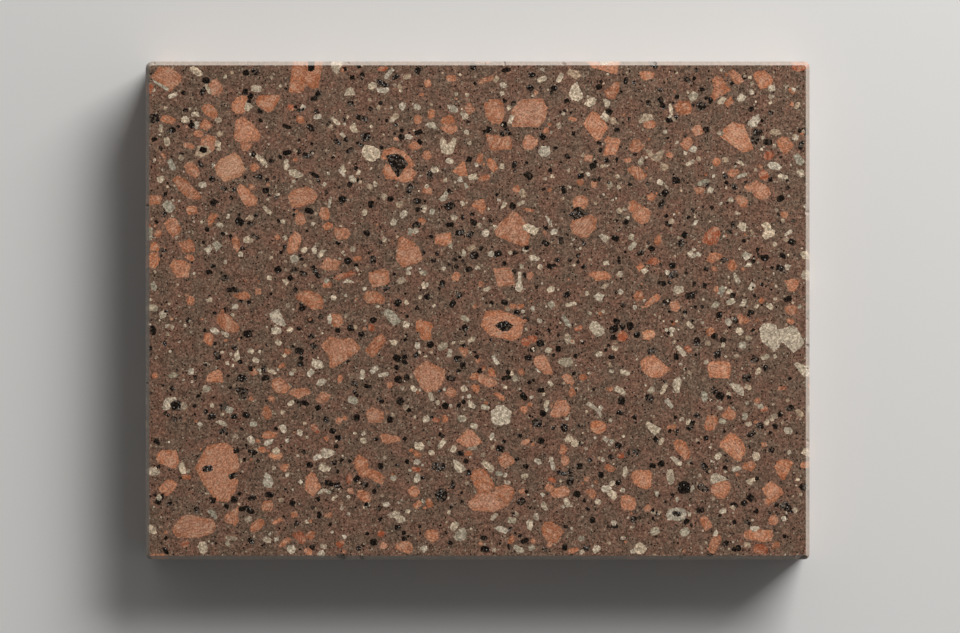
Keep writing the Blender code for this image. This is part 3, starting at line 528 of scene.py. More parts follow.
# The plainer ones: x, y, length, width, and turn in degrees. A turn of 0 is left to chance,
# within FREE_TURN.
PLAIN = {
    "salmon": [
        (-84, 53.2, 3, 2, -10), (-86.9, 49.6, 3.4, 1.6, -15), (-8, 69.9, 3, 2, -10),
        (-18, 57.5, 2.6, 2.2, 90), (-18.8, 49.6, 3.8, 2.4, 5), (33.3, 45.9, 2.6, 2.2, 0),
        (45.2, 45.2, 2.2, 1.4, 0), (-15, 36.1, 2.8, 1.8, 0), (71.3, 12.6, 1.9, 1.7, 0),
        (-97.1, -19.7, 1.9, 1.7, 0), (-62, -26.6, 2, 1.7, -20), (-41.8, -33.2, 2.2, 1.8, 60),
        (-24.4, -38.5, 2.4, 1.3, -20), (14.4, -39.6, 3, 1.5, 20), (13.4, -54.4, 2.1, 1.4, 10),
        (21.6, -53.4, 2.5, 2.2, 0), (98.1, -46.5, 2, 1.7, 0),
    ],
    "orange": [
        (-93.1, 57.5, 4.4, 2.2, 0), (-67.2, 43.2, 2.6, 2.4, 30), (-53.4, 57.5, 2.4, 2.2, 0),
        (2.4, 69.4, 4.8, 1.5, 20), (0.7, 45.8, 3, 1.8, 75), (2, 39.9, 3.4, 1.7, 15),
        (28.6, 57.6, 2.6, 1.2, -15), (57.9, 46.8, 2, 1.6, 0), (30.9, 38.6, 2, 2, 0), (35, 38, 1.8, 2, 0),
        (-86, 30.2, 3.2, 2.6, 0), (-97.2, 19.2, 2.8, 2.6, 0), (-96.2, 23.2, 2.4, 2, 45),
        (-66, 5.7, 2, 1.9, 0), (-45.3, 7.7, 2.6, 1.8, 0), (-36.2, 15.6, 2.6, 1.7, 5),
        (11.6, 36.5, 2.2, 2, 0), (15.2, 30.3, 3.4, 1, -10), (10.6, 1.2, 2, 1.6, 0),
        (12.8, 1.2, 2.4, 1.4, 20), (54.3, 21.2, 3, 1.9, 75), (-57.2, -12.4, 2, 1.6, -20),
        (-41.4, -20.6, 2.3, 1.4, 80), (-26.4, -22.4, 1.8, 1.7, 0), (13.2, -18.6, 2.2, 1.7, -60),
        (-9.8, -32.6, 2.1, 1.9, 70), (58.4, -35.1, 2.8, 1.5, 0), (-87.8, -50.2, 2.9, 1.5, -5),
        (-64.8, -41.9, 2.4, 1.6, -20), (-55.2, -61.4, 2.1, 1.8, 0), (-44.8, -61.6, 2.6, 1.3, 15),
        (-2.8, -43.1, 2.3, 1.6, 0), (-18.2, -43.2, 2.6, 1.7, 0), (-14.5, -58, 2.9, 1.9, -70),
        (-18, -58.4, 2.8, 1.8, 40), (39.8, -47.5, 3, 2, 0),
    ],
    "red": [
        (-98.6, 66.7, 2.8, 1.8, 80), (-56.2, 61.1, 2.2, 1.9, 0), (-28.5, 72.7, 3, 1.3, 5),
        (-12.5, -32.9, 2.2, 1.4, -10), (30.3, -5.4, 2.4, 1.3, 20), (63.4, -11.6, 2.2, 1.7, -50),
        (91.8, -23.4, 2.7, 1.2, 5), (86.2, -29.7, 2.2, 1.4, 0), (-88, -70.3, 2.2, 2, 0),
        (-29.1, -67.2, 2, 1.9, 0), (-18.4, -47.9, 2.8, 1.4, -10), (22.4, -51, 2.4, 1.4, 0),
    ],
    "cream": [
        (-66.6, 66.8, 3, 2, -5), (-91.8, 64.7, 3, 1.3, 0), (-88, 57.5, 2.4, 2, 10),
        (-93.5, 50.8, 2.6, 1.7, -80), (-65, 45.2, 5.2, 1.6, -45), (-82.8, 37.8, 2.2, 1.8, 20),
        (-26.7, 71.3, 4, 1.3, 50), (-48.2, 58.3, 2.4, 1.4, 10), (-42.8, 57, 3.6, 1.2, -42),
        (-20.7, 52.3, 2.6, 1.4, -10), (-40.7, 41.4, 3, 1, -45), (-18.2, 61.2, 2.2, 1.8, 0),
        (-3.8, 58.5, 1.9, 1.9, 20), (-8.4, 45, 2.4, 1.6, 0), (-12.9, 42.4, 2.4, 1.8, 10),
        (19.4, 69.6, 3, 1.6, 20), (-1.5, 40.2, 2.6, 1.9, 10), (24.8, 70, 3, 1.5, 60),
        (58.2, 60.5, 3.4, 1.1, -80), (54.9, 38.6, 2, 1.6, 0), (91.8, 40.3, 3.2, 1.4, -15),
        (79.4, 44.3, 3.4, 1, -30), (79.6, 40.6, 3.4, 1.2, 15), (64, 44.4, 3, 1.2, 30),
        (-77.6, 25.7, 2.2, 1.4, 0), (-73, 1.2, 1.9, 1.6, 0), (-44.5, 32.6, 3.4, 0.9, 80),
        (-34, 29.5, 2, 1.5, 80), (-22.3, 29, 2.6, 1.8, 45), (-52.2, 18.2, 2, 1.6, 40),
        (21.5, 26.9, 3.8, 1, -60), (28, 1.8, 3.4, 1.2, 12), (-68.3, -12.2, 1.9, 1.6, -20),
        (-66.8, -15, 2.2, 1.4, -30), (-86.3, -18.4, 1.9, 1.8, 90), (-21.5, -4.3, 2, 1.9, -20),
        (-34.7, -19.3, 3, 1.5, 80), (-28.3, -19.3, 3.2, 1.3, 12), (-50.3, -18.8, 2.3, 1.7, 45),
        (-59.9, -9.7, 2, 1.6, -45), (-56.2, -27.9, 2.2, 1.4, 0), (-1.8, -8.8, 2.6, 1.4, 30),
        (-18.1, -10.6, 2, 1.6, 90), (-8.4, -12.9, 2.6, 1.4, 80), (-14, -25.9, 2.8, 1.4, -70),
        (-19.3, -23.5, 2.2, 1.5, -40), (-15.5, -32.7, 2.1, 1.9, 0), (-1.1, -34.8, 2.2, 1.7, -10),
        (58.5, -5.8, 1.9, 1.6, 0), (21.3, -12, 2, 1.8, -15), (36.6, -13.1, 2.1, 1.5, 20),
        (41.3, -11.4, 2, 1.5, 0), (44.4, -18.7, 3.2, 1.5, 0), (20.7, -28.2, 2.8, 1.4, 75),
        (56.1, -23.6, 3.8, 1.4, 65), (75.5, -3.5, 2.2, 1.8, -60), (63.9, -4.4, 2.4, 1.4, -40),
        (78.8, -6.2, 2.4, 2, -45), (84.5, -18.3, 2.3, 1.4, 60), (93.5, -36.2, 2.6, 2.1, -10),
        (-68.2, -39, 2.6, 1.9, -60), (-63.4, -69, 2.6, 1.7, 0), (-45.4, -54.4, 2.8, 1.1, -25),
        (-34.4, -39.2, 2, 1.6, -20), (-27.5, -58.4, 2, 1.5, 0), (4.3, -37.9, 2.4, 1.3, 75),
        (-13.9, -42.8, 2, 1.5, -20), (-18.2, -45.6, 2, 1.6, 0), (-18.2, -50.6, 2.8, 1.8, 70),
        (18.1, -45.4, 2.4, 1.5, -30), (14.2, -49.8, 2.3, 1.3, 5), (22.6, -46.8, 2.8, 1.3, -75),
        (44.4, -48.6, 3.4, 1.4, 85), (55.3, -39.4, 2.4, 1.3, 60), (36.2, -57.6, 1.9, 1.6, -20),
        (26.8, -57.8, 2.8, 1.6, -65), (72.4, -43.9, 2.4, 1.7, 50),
    ],
    "tan": [
        (-77.6, 53.2, 1.9, 1.7, 0), (-24.6, 58.6, 2, 1.6, 0), (-21.2, 70.4, 2.4, 1.6, 0),
        (5.6, 69.6, 2.2, 1.4, 60), (96.2, 61.7, 2.2, 1.4, 60), (74.6, 45.4, 2, 1.6, 0),
        (-32.4, 37.3, 1.9, 1.6, 0), (-23, 9, 2.6, 1.9, 30), (13, 32.3, 2.8, 1.2, 0),
        (-1.9, 18.9, 2.6, 1.6, 30), (81.6, -8.3, 2.2, 1.4, 0), (81.4, -23.1, 2.2, 1.5, -20),
        (97, -30.8, 3, 1.5, -45), (89.4, -31.8, 2.2, 1.6, 0), (81.6, -34.2, 2, 1.5, 0),
        (-69, -62.9, 2.2, 1.7, 0), (-74.1, -68.6, 3.6, 1.3, -5), (-46.4, -71, 2.1, 1.6, 0),
        (-1.6, -41.5, 3, 1.1, 10), (81.2, -70.6, 2, 1.5, 0),
    ],
    "grey": [
        (-92.1, 43.8, 3.6, 1.8, -65), (68, 38.6, 3.6, 1.6, 15), (-97.5, 0.8, 2.4, 1.9, -20),
        (-55.2, 15.6, 2.5, 2.3, 0), (46.6, 19.4, 3, 1.6, 45), (73.4, 6, 2.8, 2, 60),
        (76.2, 2.6, 2.6, 1.8, 30), (-81.6, -23.6, 2.4, 2, -20), (-91.6, -19.5, 2.8, 1.6, 10),
        (-67.5, -34.2, 2.2, 1.5, 0), (-37.6, -27, 3, 2.2, -20), (-3.7, -2.5, 2.8, 1.6, -30),
        (-10.5, -10.9, 3.2, 1.9, 20), (2.3, -29.1, 2.6, 1.6, -10), (-4.7, -32.6, 2.6, 2, 0),
        (52.3, -24, 2.4, 1.7, 45), (79.7, -10.5, 2.2, 2, 0), (86.6, -14, 2.6, 1.5, 25),
        (68.3, -25.9, 3.4, 1.8, -80), (80.5, -31.9, 2.2, 1.6, 80), (73.7, -33.4, 2.2, 1.6, 0),
        (-25.4, -50.4, 1.9, 1.7, 0), (6.5, -49.1, 2.1, 1.5, 0), (10.3, -63.2, 2.6, 1.8, 0),
        (16.3, -71.4, 2, 1.6, 0), (12.4, -71.9, 3.4, 1.7, -30), (53.4, -66.4, 2.8, 2.3, 10),
        (31.2, -68.6, 2, 1.5, 30), (62.4, -66.7, 3, 2.4, 0),
    ],
    "quartz": [
        (-69.8, 71.5, 1.9, 1.7, 0), (-82.6, 48.3, 2.2, 1.8, 0), (-49.3, 63.8, 2.2, 1.4, 10),
        (-57.3, 47.5, 2.8, 1.5, 10), (-57.4, 55.3, 2.8, 1.1, -18), (-48.9, 40.7, 2.8, 1.2, -25),
        (-22.9, 52.2, 1.9, 1.6, 0), (-50.1, 72.9, 2, 1.8, 45), (8.6, 72.4, 2.8, 1.5, 0),
        (15.8, 67, 2.2, 1.8, -30), (-17.8, 53.6, 2.5, 1.6, 20), (3.3, 54.4, 2.2, 1.4, 50),
        (19.5, 52.3, 2, 1.6, -30), (11, 43.8, 2.2, 1.4, 80), (15.3, 40.6, 2.8, 2, -40),
        (23, 66.9, 2, 1.7, 0), (36.5, 67.3, 1.9, 1.7, 0), (44.6, 69.2, 2.2, 1.4, 80),
        (34.7, 43.5, 2, 1.8, 0), (87.3, 50.7, 2.8, 1.9, 0), (-63.8, 36.1, 2, 1.8, 0),
        (-71.6, 26.7, 2.8, 2.1, -40), (-60.2, 12.3, 2.3, 2, 0), (-74, 6.3, 3.1, 1.5, 0),
        (-50.7, 30, 2.8, 1.7, -15), (-32.1, 31.9, 2.3, 1.9, 80), (-26.2, 33.6, 1.9, 1.6, 0),
        (-33.4, 23.3, 2.1, 1.7, 0), (-39, 14.9, 2.3, 2.1, 0), (-24, 2.3, 2.3, 1.9, 60),
        (-52.8, 0.6, 2.2, 1.6, 0), (-1.3, 26.5, 2.4, 1.7, -40), (-8.3, 25.8, 2.4, 1.5, 0),
        (-2.6, 12.4, 2.1, 1.7, 20), (-7.5, 2, 2.3, 1.8, 50), (8.1, 2.4, 2.1, 1.6, -20),
        (20.4, 20.2, 2.4, 1.5, -20), (25.9, 36.3, 2.4, 1.5, 110), (44.8, 26.7, 2.1, 1.5, 60),
        (57.4, 26, 2.1, 1.5, 0), (41.4, 21.7, 2.3, 1.7, -20), (52.4, 18.6, 2.1, 1.6, -10),
        (21.7, 13.3, 2, 1.6, -15), (91.2, 33.7, 2.4, 1.8, 30), (94.6, 20.6, 2.6, 1.8, 0),
        (91.9, 16.4, 2.1, 1.4, -40), (86.4, 15.8, 2.5, 2, 0), (64, 4.4, 3.2, 2.1, 15),
        (93.4, 3.4, 2.6, 1.7, 25), (-97.7, -6, 3, 1.8, 90), (-78.1, -14, 2, 1.8, 0),
        (-63.9, -20.3, 2.4, 1.7, 0), (-69.2, -7.1, 2.6, 2.3, 0), (-73.3, -31.9, 2, 1.6, 0),
        (-69.6, -31.5, 2.2, 1.8, -20), (-38.2, -5.3, 2.3, 2, 0), (-24.2, -14.4, 2.6, 2, -30),
        (-23.9, -20.8, 2.5, 2.1, 0), (-53.7, -12.2, 2.8, 2, -10), (-53.5, -16.1, 2.1, 1.6, 0),
        (-23.4, -27.3, 2.5, 2.2, 0), (-52, -27.9, 2.8, 1.5, -20), (-48, -29.3, 1.9, 1.6, 0),
        (-36.4, -32.3, 2.3, 1.9, 90), (-26.4, -32.9, 2, 1.8, 90), (-43.7, -36.3, 1.9, 1.7, 0),
        (-14.2, -10.3, 2.3, 2, 0), (-9.7, -28.7, 2.1, 2, 0), (19.7, -31, 2.1, 1.9, 0),
        (13.9, -25.9, 2.6, 1.8, -50), (19.1, -24, 2.2, 1.4, 10), (8.6, -20.3, 3, 1.4, 15),
        (18.9, -9.9, 2.3, 2, 0), (41.8, -3.3, 2.2, 1.7, 0), (45.9, -4.7, 2.5, 2.1, 90),
        (48, -7.4, 2, 1.7, 0), (24.3, -11.6, 1.9, 1.7, 90), (59.8, -13.9, 2, 1.5, 90),
        (43.3, -27.2, 2.5, 2.2, 90), (42.8, -30.8, 2, 1.5, -20), (72.7, -1.4, 2.2, 1.9, 90),
        (82.3, -0.6, 2, 1.5, 0), (73, -25.7, 2.6, 2.4, 0), (-96.2, -57.6, 1.9, 1.7, 0),
        (-70.4, -59.6, 3.2, 1.3, 15), (-73.2, -56.9, 2.2, 1.9, 0), (-93.9, -72.4, 2.4, 1.3, -60),
        (-62.7, -55.5, 2.8, 1.7, 0), (-50.5, -46.5, 2, 1.8, 0), (-44.7, -52, 2.8, 1.7, 0),
        (-29.2, -46.9, 2, 1.6, 90), (-24.1, -65.3, 1.8, 1.7, 0), (-31.2, -69.7, 2.2, 2.1, 0),
        (-5.2, -43, 2.2, 1.7, 0), (19.1, -39.3, 2, 1.9, 0), (6.8, -41.6, 2.4, 1.8, 0),
        (1.9, -68.5, 2.1, 1.5, 0), (2.3, -71.9, 2.8, 1.9, 0), (14.2, -69.3, 2.6, 1.5, 20),
        (30.7, -46.9, 1.9, 1.8, 0), (37.1, -49.5, 2, 1.8, 90), (52.7, -46.7, 2, 1.5, 0),
        (55.3, -46.2, 2.2, 1.8, 0), (29.9, -55.3, 2.2, 1.9, 0), (34.6, -63.1, 1.9, 1.7, 90),
        (26.2, -71.3, 2.1, 1.7, 90), (80.3, -58, 2, 1.8, 0), (77.2, -58.5, 2.4, 1.6, 0),
        (78.5, -71.5, 2, 1.7, 90),
    ],
    "speckled": [
        (-67.1, 71.9, 2.2, 2, 0), (-82.7, 66, 2.8, 1.6, 60), (-97.4, 57.8, 3, 2.8, 0),
        (-92.3, 54.3, 2.8, 1.8, 0), (-68.4, 64.5, 2, 1.6, 60), (-65.7, 40.1, 2.2, 1.8, -20),
        (-79.9, 39.6, 2, 1.6, -30), (-83.3, 44, 2.4, 1.4, -50), (-48, 65.2, 2.4, 1.6, 60),
        (-38.3, 62.3, 2, 1.6, 0), (-24.6, 70.3, 2.4, 1.5, 20), (-28.6, 68.3, 4.4, 1.5, 0),
        (-34.8, 57.9, 3.8, 1.7, 0), (-33.7, 52.2, 3, 2.7, 0), (-42.3, 50.8, 2.6, 1.6, -30),
        (-38.4, 48.2, 2.6, 1.6, 0), (-51.5, 46.6, 2.6, 1.8, 0), (-50.2, 55, 2.8, 1.8, -30),
        (-18, 72.2, 2.2, 1.8, 60), (-14.4, 40.8, 2.6, 1.8, 80), (67.2, 61.5, 3, 2.6, -40),
        (63, 69.5, 2.8, 1.6, 0), (97.4, 49.8, 2.8, 1.6, 80), (83.8, 52.4, 4.6, 2.4, 80),
        (53, 73.8, 2.6, 1.6, 0), (-76.4, 36.8, 2.1, 1.4, -20), (-68.4, 26, 2, 1.6, 0),
        (-76, 9.8, 2.4, 1.8, 20), (-20.6, 36.6, 3, 2.2, 60), (-31.5, 15.3, 2.5, 1.9, 90),
        (-52.4, 11, 2.5, 1.6, 0), (-48.6, 11.2, 3.6, 1.4, -52), (-18.2, 32.9, 2.5, 1.8, -10),
        (-8.4, 31.4, 3.4, 2.4, 20), (-5.3, 23.4, 2.8, 1.8, 0), (-1, 16.6, 2.8, 2.3, 0),
        (6, 17.1, 2.8, 1.9, 0), (-10.6, 8, 2.4, 1.6, 90), (-5.7, 4.5, 2.1, 1.8, 40),
        (55.4, 32.1, 3.2, 1.7, 70), (49, 17.3, 2.1, 1.6, 20), (26.8, 4.8, 2.3, 1.7, 20),
        (58.9, 10.7, 2.8, 2.2, 20), (75.8, 23.7, 1.9, 1.6, 0), (77, 25.9, 2, 1.5, 80),
        (91.2, 12.7, 2.8, 1.9, -20), (-73.3, -11.2, 2, 1.5, -40), (-70.9, -20.5, 3.2, 2.2, -15),
        (-76.4, -28.9, 2.4, 2.1, 0), (-80.1, -32, 2.6, 2, 0), (-91.4, -32.7, 2, 1.6, 0),
        (-76.9, -36.3, 2.4, 1.6, 0), (-35, -7.3, 2, 1.8, 0), (-50.1, -7.8, 2, 1.7, 0),
        (-37.3, -22, 2.2, 1.5, 0), (-33, -22.9, 2.4, 1.3, -15), (-29.2, -27, 2.4, 1.5, -45),
        (-45.5, -32.9, 2, 1.9, 0), (-6, -14.6, 2.6, 1.9, 0), (-4.4, -16.6, 2.3, 1.8, 90),
        (-8, -20.4, 2.8, 1.8, -10), (17.9, -33.8, 3, 2.7, 0), (15.2, -14.3, 2.3, 1.9, 0),
        (41, -5.6, 3, 2.3, 0), (52.5, -12.2, 2.8, 1.7, 0), (40.3, -14.1, 2, 1.6, 0),
        (51.7, -26.4, 2.8, 2.2, 0), (26.1, -35.3, 2.5, 2.1, 90), (73.9, -9, 2, 1.9, 0),
        (66, -9.4, 2.6, 2, 90), (72.2, -13.3, 2.4, 2.1, 0), (83.5, -14.9, 2.6, 1.7, 10),
        (81, -20.4, 2.9, 2.6, 0), (94.1, -29.4, 2.6, 1.9, 0), (63.9, -35.1, 2, 1.9, 0),
        (66, -31.7, 2, 1.5, 0), (85, -34.6, 2.4, 1.9, 0), (82.3, -37.2, 2.8, 1.6, 0),
        (-81.3, -47.6, 3.2, 1.9, 10), (-73.7, -49.8, 2.6, 1.7, 20), (-68.3, -60.4, 2.4, 1.7, 0),
        (-67.9, -56.5, 2.6, 1.4, 10), (-68.2, -69.4, 2.2, 1.7, 0), (-42.2, -52.6, 2.1, 1.8, 0),
        (-33.9, -52.4, 2, 1.8, 0), (-47.6, -61.6, 2.2, 1.5, 90), (-11.8, -47, 4.2, 2.6, -10),
        (-7.4, -52.4, 2.8, 1.4, 85), (13.1, -57.5, 2.6, 2.2, 0), (28, -51.1, 3, 2.2, 70),
        (47.8, -42.5, 2.4, 2, 0), (59.8, -61.2, 2.6, 1.5, -10), (47, -62.9, 2.2, 1.9, 0),
        (32.7, -71.7, 2.2, 1.7, 0), (88.4, -42, 1.9, 1.7, 0), (68.2, -46.9, 2.4, 1.8, -50),
        (67.8, -53.5, 3.6, 2, -25), (67.1, -60.1, 2.6, 1.9, 0), (81.2, -63.7, 2.2, 1.4, 0),
        (97.8, -53.1, 2.1, 2, 0), (74.6, -70.1, 2.2, 1.9, 0), (-41.2, -73.8, 2.6, 1.2, 0),
        (25.3, -49, 3.5, 1.4, -15),
    ],
}

# How a crystal's sides and its lower end lean, and how far down it goes: as a share of its size,
# and at least and at most
LEAN = math.radians(24)
FLOOR_LEAN = math.radians(30)
DEPTH_SHARE = (0.55, 0.95)
DEPTH_LIMITS = (0.8, 10.0)

# A crystal's reach is the radius of a ball round its middle that holds it. It grows by this for
# each millimetre of the depth.
REACH_FOR_DEPTH = 1.6

# A corner nearer to the rim than RIM_REACH belongs to a crystal that runs on past it, by PAST_RIM
RIM_REACH = 1.3
PAST_RIM = 4.0

# The noise in the material wears a crystal's outline inward, so it is grown by this first. Small
# crystals are worn less: FULL_SIZE is the size from which it is the whole amount.
WEAR = 0.26
FULL_SIZE = 3.2
LEAST_WEAR = 0.22

# Outlines drawn inside a crystal, at these depths, carry the depth that the material reads. A
# crystal smaller than RING_SIZE has none.
RINGS = (0.35, 1.2, 2.6)
RING_SIZE = 1.5

# A plain crystal: how much of half a side the cut at a corner takes, and how far it may turn either
# way, in radians, where the table's turn is 0
CORNER_CUT = (0.25, 0.62)
FREE_TURN = 0.5

# A loose crystal: how its box is stretched, which of the box's tips are cut, and how far out a cut
# stands, as a share of the way to the tip
STRETCH = (0.75, 1.35)
CUT_TIPS = ((1, 1, 1), (-1, 1, 1), (1, -1, 1), (1, 1, -1), (-1, -1, 1), (-1, 1, -1))
TIP_CUT = (0.55, 0.8)

# Grains that the tables leave out: the look, how many for each DENSITY_AREA in mm2, and their sizes
TOP_GRAINS = [
    ("quartz", 20.0, 0.5, 1.2),
    ("quartz", 14.0, 1.1, 1.8),
    ("speckled", 5.0, 1.2, 1.8),
    ("cream", 16.0, 0.6, 1.25),
    ("cream", 6.5, 1.2, 1.8),
    ("tan", 8.0, 0.6, 1.2),
    ("tan", 2.6, 1.2, 1.75),
    ("grey", 1.0, 1.2, 1.7),
    ("orange", 3.0, 0.6, 1.2),
    ("orange", 1.0, 1.2, 1.75),
    ("salmon", 0.8, 1.2, 1.75),
]
SAWN_GRAINS = [
    ("salmon", 2.6, 3.0, 8.5),
    ("orange", 4.2, 1.6, 5.5),
    ("red", 0.8, 1.5, 4.0),
    ("cream", 9.0, 1.1, 3.4),
    ("tan", 3.2, 1.0, 2.4),
    ("grey", 2.2, 1.3, 3.0),
    ("quartz", 13.0, 0.8, 2.4),
    ("speckled", 7.0, 1.3, 2.9),
]
DENSITY_AREA = 1000

# A grain's middle lies this far below the flat that cuts it, as a share of its size
GRAIN_DEPTH = (-0.3, 0.35)

# The power by which small sizes come more often than large ones
SMALL_BIAS = 2.2

# The factors by which a crystal may be lighter and warmer than its look's colour
LIGHT_SPREAD = (0.86, 1.14)
WARM_SPREAD = (0.95, 1.05)

# The colour stored where there is no crystal
NO_CRYSTAL = (0.1, 0.06, 0.04, 0.0)

SEED = 20417
COLOUR_SEED = SEED + 2

# Two crystals of one look have grown together where their cuts overlap by more than this area
LEAST_OVERLAP = 0.15

# A cut of a smaller area than this is left out
LEAST_CUT = 1e-6

# Half the side of the square that a crystal's section is cut out of, as a share of its reach
SQUARE_REACH = 1.5

# The slab's triangles are joined where they lie in one plane, once their corners are joined. The
# cut flats are welded where they meet.
SAME_PLANE = math.radians(0.2)
SAME_POINT = 0.001
WELD = 0.003

# How the flats are cut into triangles: only inside the outline, with points this near made one
KEEP_INSIDE = 1
CUT_POINT = 1e-4

# The side of the cells in which the triangles are looked up
GRID = 4.0

# The finishes of the slab's flats. A flat lies level if its normal's Z is more than LEVEL, either
# way, and is upright if it is less than UPRIGHT.
POLISHED, GROUND, SAWN = range(3)
LEVEL = 0.999
UPRIGHT = 0.1

# The maps' layout, as shares of a square picture. The top takes the upper three quarters, the four
# sides lie in rows under it, and the back lies beside them. The top's and the back's numbers are
# the left and the lower margin, and the share for a millimetre along and up. MAP_SIDE_GAP is a
# share of a row. A flat whose normal's Z is within MAP_SLOPE is a side.
MAP_TOP = (0.002, 0.256, 0.996 / LENGTH, 0.740 / WIDTH)
MAP_BACK = (0.640, 0.006, 0.340 / LENGTH, 0.238 / WIDTH)
MAP_SIDE_SCALE = 0.590 / LENGTH
MAP_SIDE_LEFT = 0.004
MAP_SIDE_ROW = 0.0625
MAP_SIDE_GAP = 0.05
MAP_SLOPE = 0.3


def polygon_area(corners):
    following = corners[1:] + corners[:1]
    return 0.5 * sum(a[0] * b[1] - b[0] * a[1] for a, b in zip(corners, following))


def hull_of(corners):
    """The corners of the smallest convex outline that holds the given ones, turning left."""
    hull = [corners[index] for index in convex_hull_2d([Vector(corner) for corner in corners])]
    if polygon_area(hull) < 0:
        hull.reverse()
    return hull


def clipped(polygon, a, b, c):
    """The part of a convex polygon where a * u + b * v <= c."""
    kept = []
    for index, (u, v) in enumerate(polygon):
        before_u, before_v = polygon[index - 1]
        here = a * u + b * v - c
        before = a * before_u + b * before_v - c
        if (here > 0) != (before > 0):
            share = before / (before - here)
            kept.append((before_u + (u - before_u) * share, before_v + (v - before_v) * share))
        if here <= 0:
            kept.append((u, v))
    return kept


class Plane:
    """A plane with its own two directions."""

    def __init__(self, origin, across, up):
        self.origin = origin
        self.across = across
        self.up = up

    def flat(self, point):
        offset = point - self.origin
        return offset.dot(self.across), offset.dot(self.up)

    def solid(self, u, v):
        return self.origin + self.across * u + self.up * v


POLISHED_PLANE = Plane(Vector((0, 0, TOP)), Vector((1, 0, 0)), Vector((0, 1, 0)))


class Facet(Plane):
    """One flat of the slab."""

    def __init__(self, face):
        self.normal = face.normal.copy()
        longest = max(face.edges, key=lambda edge: edge.calc_length())
        across = (longest.verts[1].co - longest.verts[0].co).normalized()
        origin = face.verts[0].co.copy()
        super().__init__(origin, across, self.normal.cross(across).normalized())
        self.area = face.calc_area()
        self.outline = [self.flat(vertex.co) for vertex in face.verts]
        self.low = [min(p[k] for p in self.outline) for k in (0, 1)]
        self.high = [max(p[k] for p in self.outline) for k in (0, 1)]
        self.finish = finish_of(self.normal)

    def random_point(self, draw):
        u = draw.uniform(self.low[0], self.high[0])
        v = draw.uniform(self.low[1], self.high[1])
        return self.solid(u, v)

    def near(self, crystal):
        """Whether a crystal may reach this flat."""
        offset = crystal.centre - self.origin
        if abs(offset.dot(self.normal)) > crystal.reach:
            return False
        place = self.flat(crystal.centre)
        return all(
            self.low[k] - crystal.reach < place[k] < self.high[k] + crystal.reach
            for k in (0, 1)
        )


def finish_of(normal):
    """The finish of a flat that faces this way."""
    if normal.z > LEVEL:
        return POLISHED
    if normal.z < -LEVEL or abs(normal.z) < UPRIGHT:
        return SAWN
    return GROUND


class Crystal:
    """A convex body: it lies where normal.dot(point) <= offset for each of its planes."""

    def __init__(self, look, planes, centre, reach, size):
        self.look = look
        self.centre = centre
        self.reach = reach
        self.size = size
        self.wear = max(LEAST_WEAR, min(1.0, size / FULL_SIZE))
        self.planes = [(normal, offset + WEAR * self.wear) for normal, offset in planes]
        self.normals = np.array([normal[:] for normal, _ in self.planes])
        self.offsets = np.array([offset for _, offset in self.planes])
        self.group = self
        self.area = size * size

    def insets(self):
        if self.size < RING_SIZE:
            return [0.0]
        return [0.0] + [ring * self.wear for ring in RINGS]

    def depth(self, points):
        """How far inside its nearest plane each point lies, in wear widths."""
        return (self.offsets - points @ self.normals.T).min(axis=1) / self.wear

    def held(self, polygon, plane, inset):
        """The part of a polygon in a plane that lies in this body, its own planes moved inward."""
        for normal, offset in self.planes:
            a, b = normal.dot(plane.across), normal.dot(plane.up)
            polygon = clipped(polygon, a, b, offset - inset - normal.dot(plane.origin))
            if not polygon:
                return []
        return polygon

    def section(self, plane, inset):
        """The outline in which a plane cuts this body, its own planes moved inward."""
        u, v = plane.flat(self.centre)
        half = self.reach * SQUARE_REACH
        square = [(u - half, v - half), (u + half, v - half), (u + half, v + half), (u - half, v + half)]
        return self.held(square, plane, inset)


def past_rim(corners):
    """The corners, and for each that lies at the slab's rim one straight out past it, so that the
    crystal runs down the side."""
    added = []
    for x, y in corners:
        far_x = math.copysign(LENGTH / 2 + PAST_RIM, x)
        far_y = math.copysign(WIDTH / 2 + PAST_RIM, y)
        at_x, at_y = abs(x) > LENGTH / 2 - RIM_REACH, abs(y) > WIDTH / 2 - RIM_REACH
        if at_x:
            added.append((far_x, y))
        if at_y:
            added.append((x, far_y))
        if at_x and at_y:
            added.append((far_x, far_y))
    return list(corners) + added


def leaning_plane(start, end, lean):
    """The plane through an edge of the top outline, leaning out or in as it goes down."""
    run = (end - start).normalized()
    outward = Vector((run.y, -run.x, 0))
    normal = outward * math.cos(lean) + Vector((0, 0, math.sin(lean)))
    return normal, normal.dot(start)


def floor_plane(centre, depth, draw):
    """The plane that ends a crystal below."""
    turn = draw.uniform(0, 2 * math.pi)
    lean = draw.uniform(0, FLOOR_LEAN)
    sideways = Vector((math.cos(turn), math.sin(turn), 0))
    normal = sideways * math.sin(lean) - Vector((0, 0, math.cos(lean)))
    return normal, normal.dot(centre - Vector((0, 0, depth)))


def crystal_from_outline(look, corners, draw):
    """A crystal whose cut by the polished face has the given corners."""
    seen = hull_of(corners)
    size = math.sqrt(polygon_area(seen))
    middle = Vector([sum(corner[k] for corner in seen) / len(seen) for k in (0, 1)])
    top_middle = Vector((middle.x, middle.y, TOP))
    points = [Vector((x, y, TOP)) for x, y in hull_of(past_rim(seen))]
    depth = min(max(size * draw.uniform(*DEPTH_SHARE), DEPTH_LIMITS[0]), DEPTH_LIMITS[1])
    planes = [
        leaning_plane(start, end, draw.uniform(-LEAN, LEAN))
        for start, end in zip(points, points[1:] + points[:1])
    ]
    planes.append(floor_plane(top_middle, depth, draw))
    reach = max((p - top_middle).length for p in points) + depth * REACH_FOR_DEPTH
    return Crystal(look, planes, top_middle, reach, size)


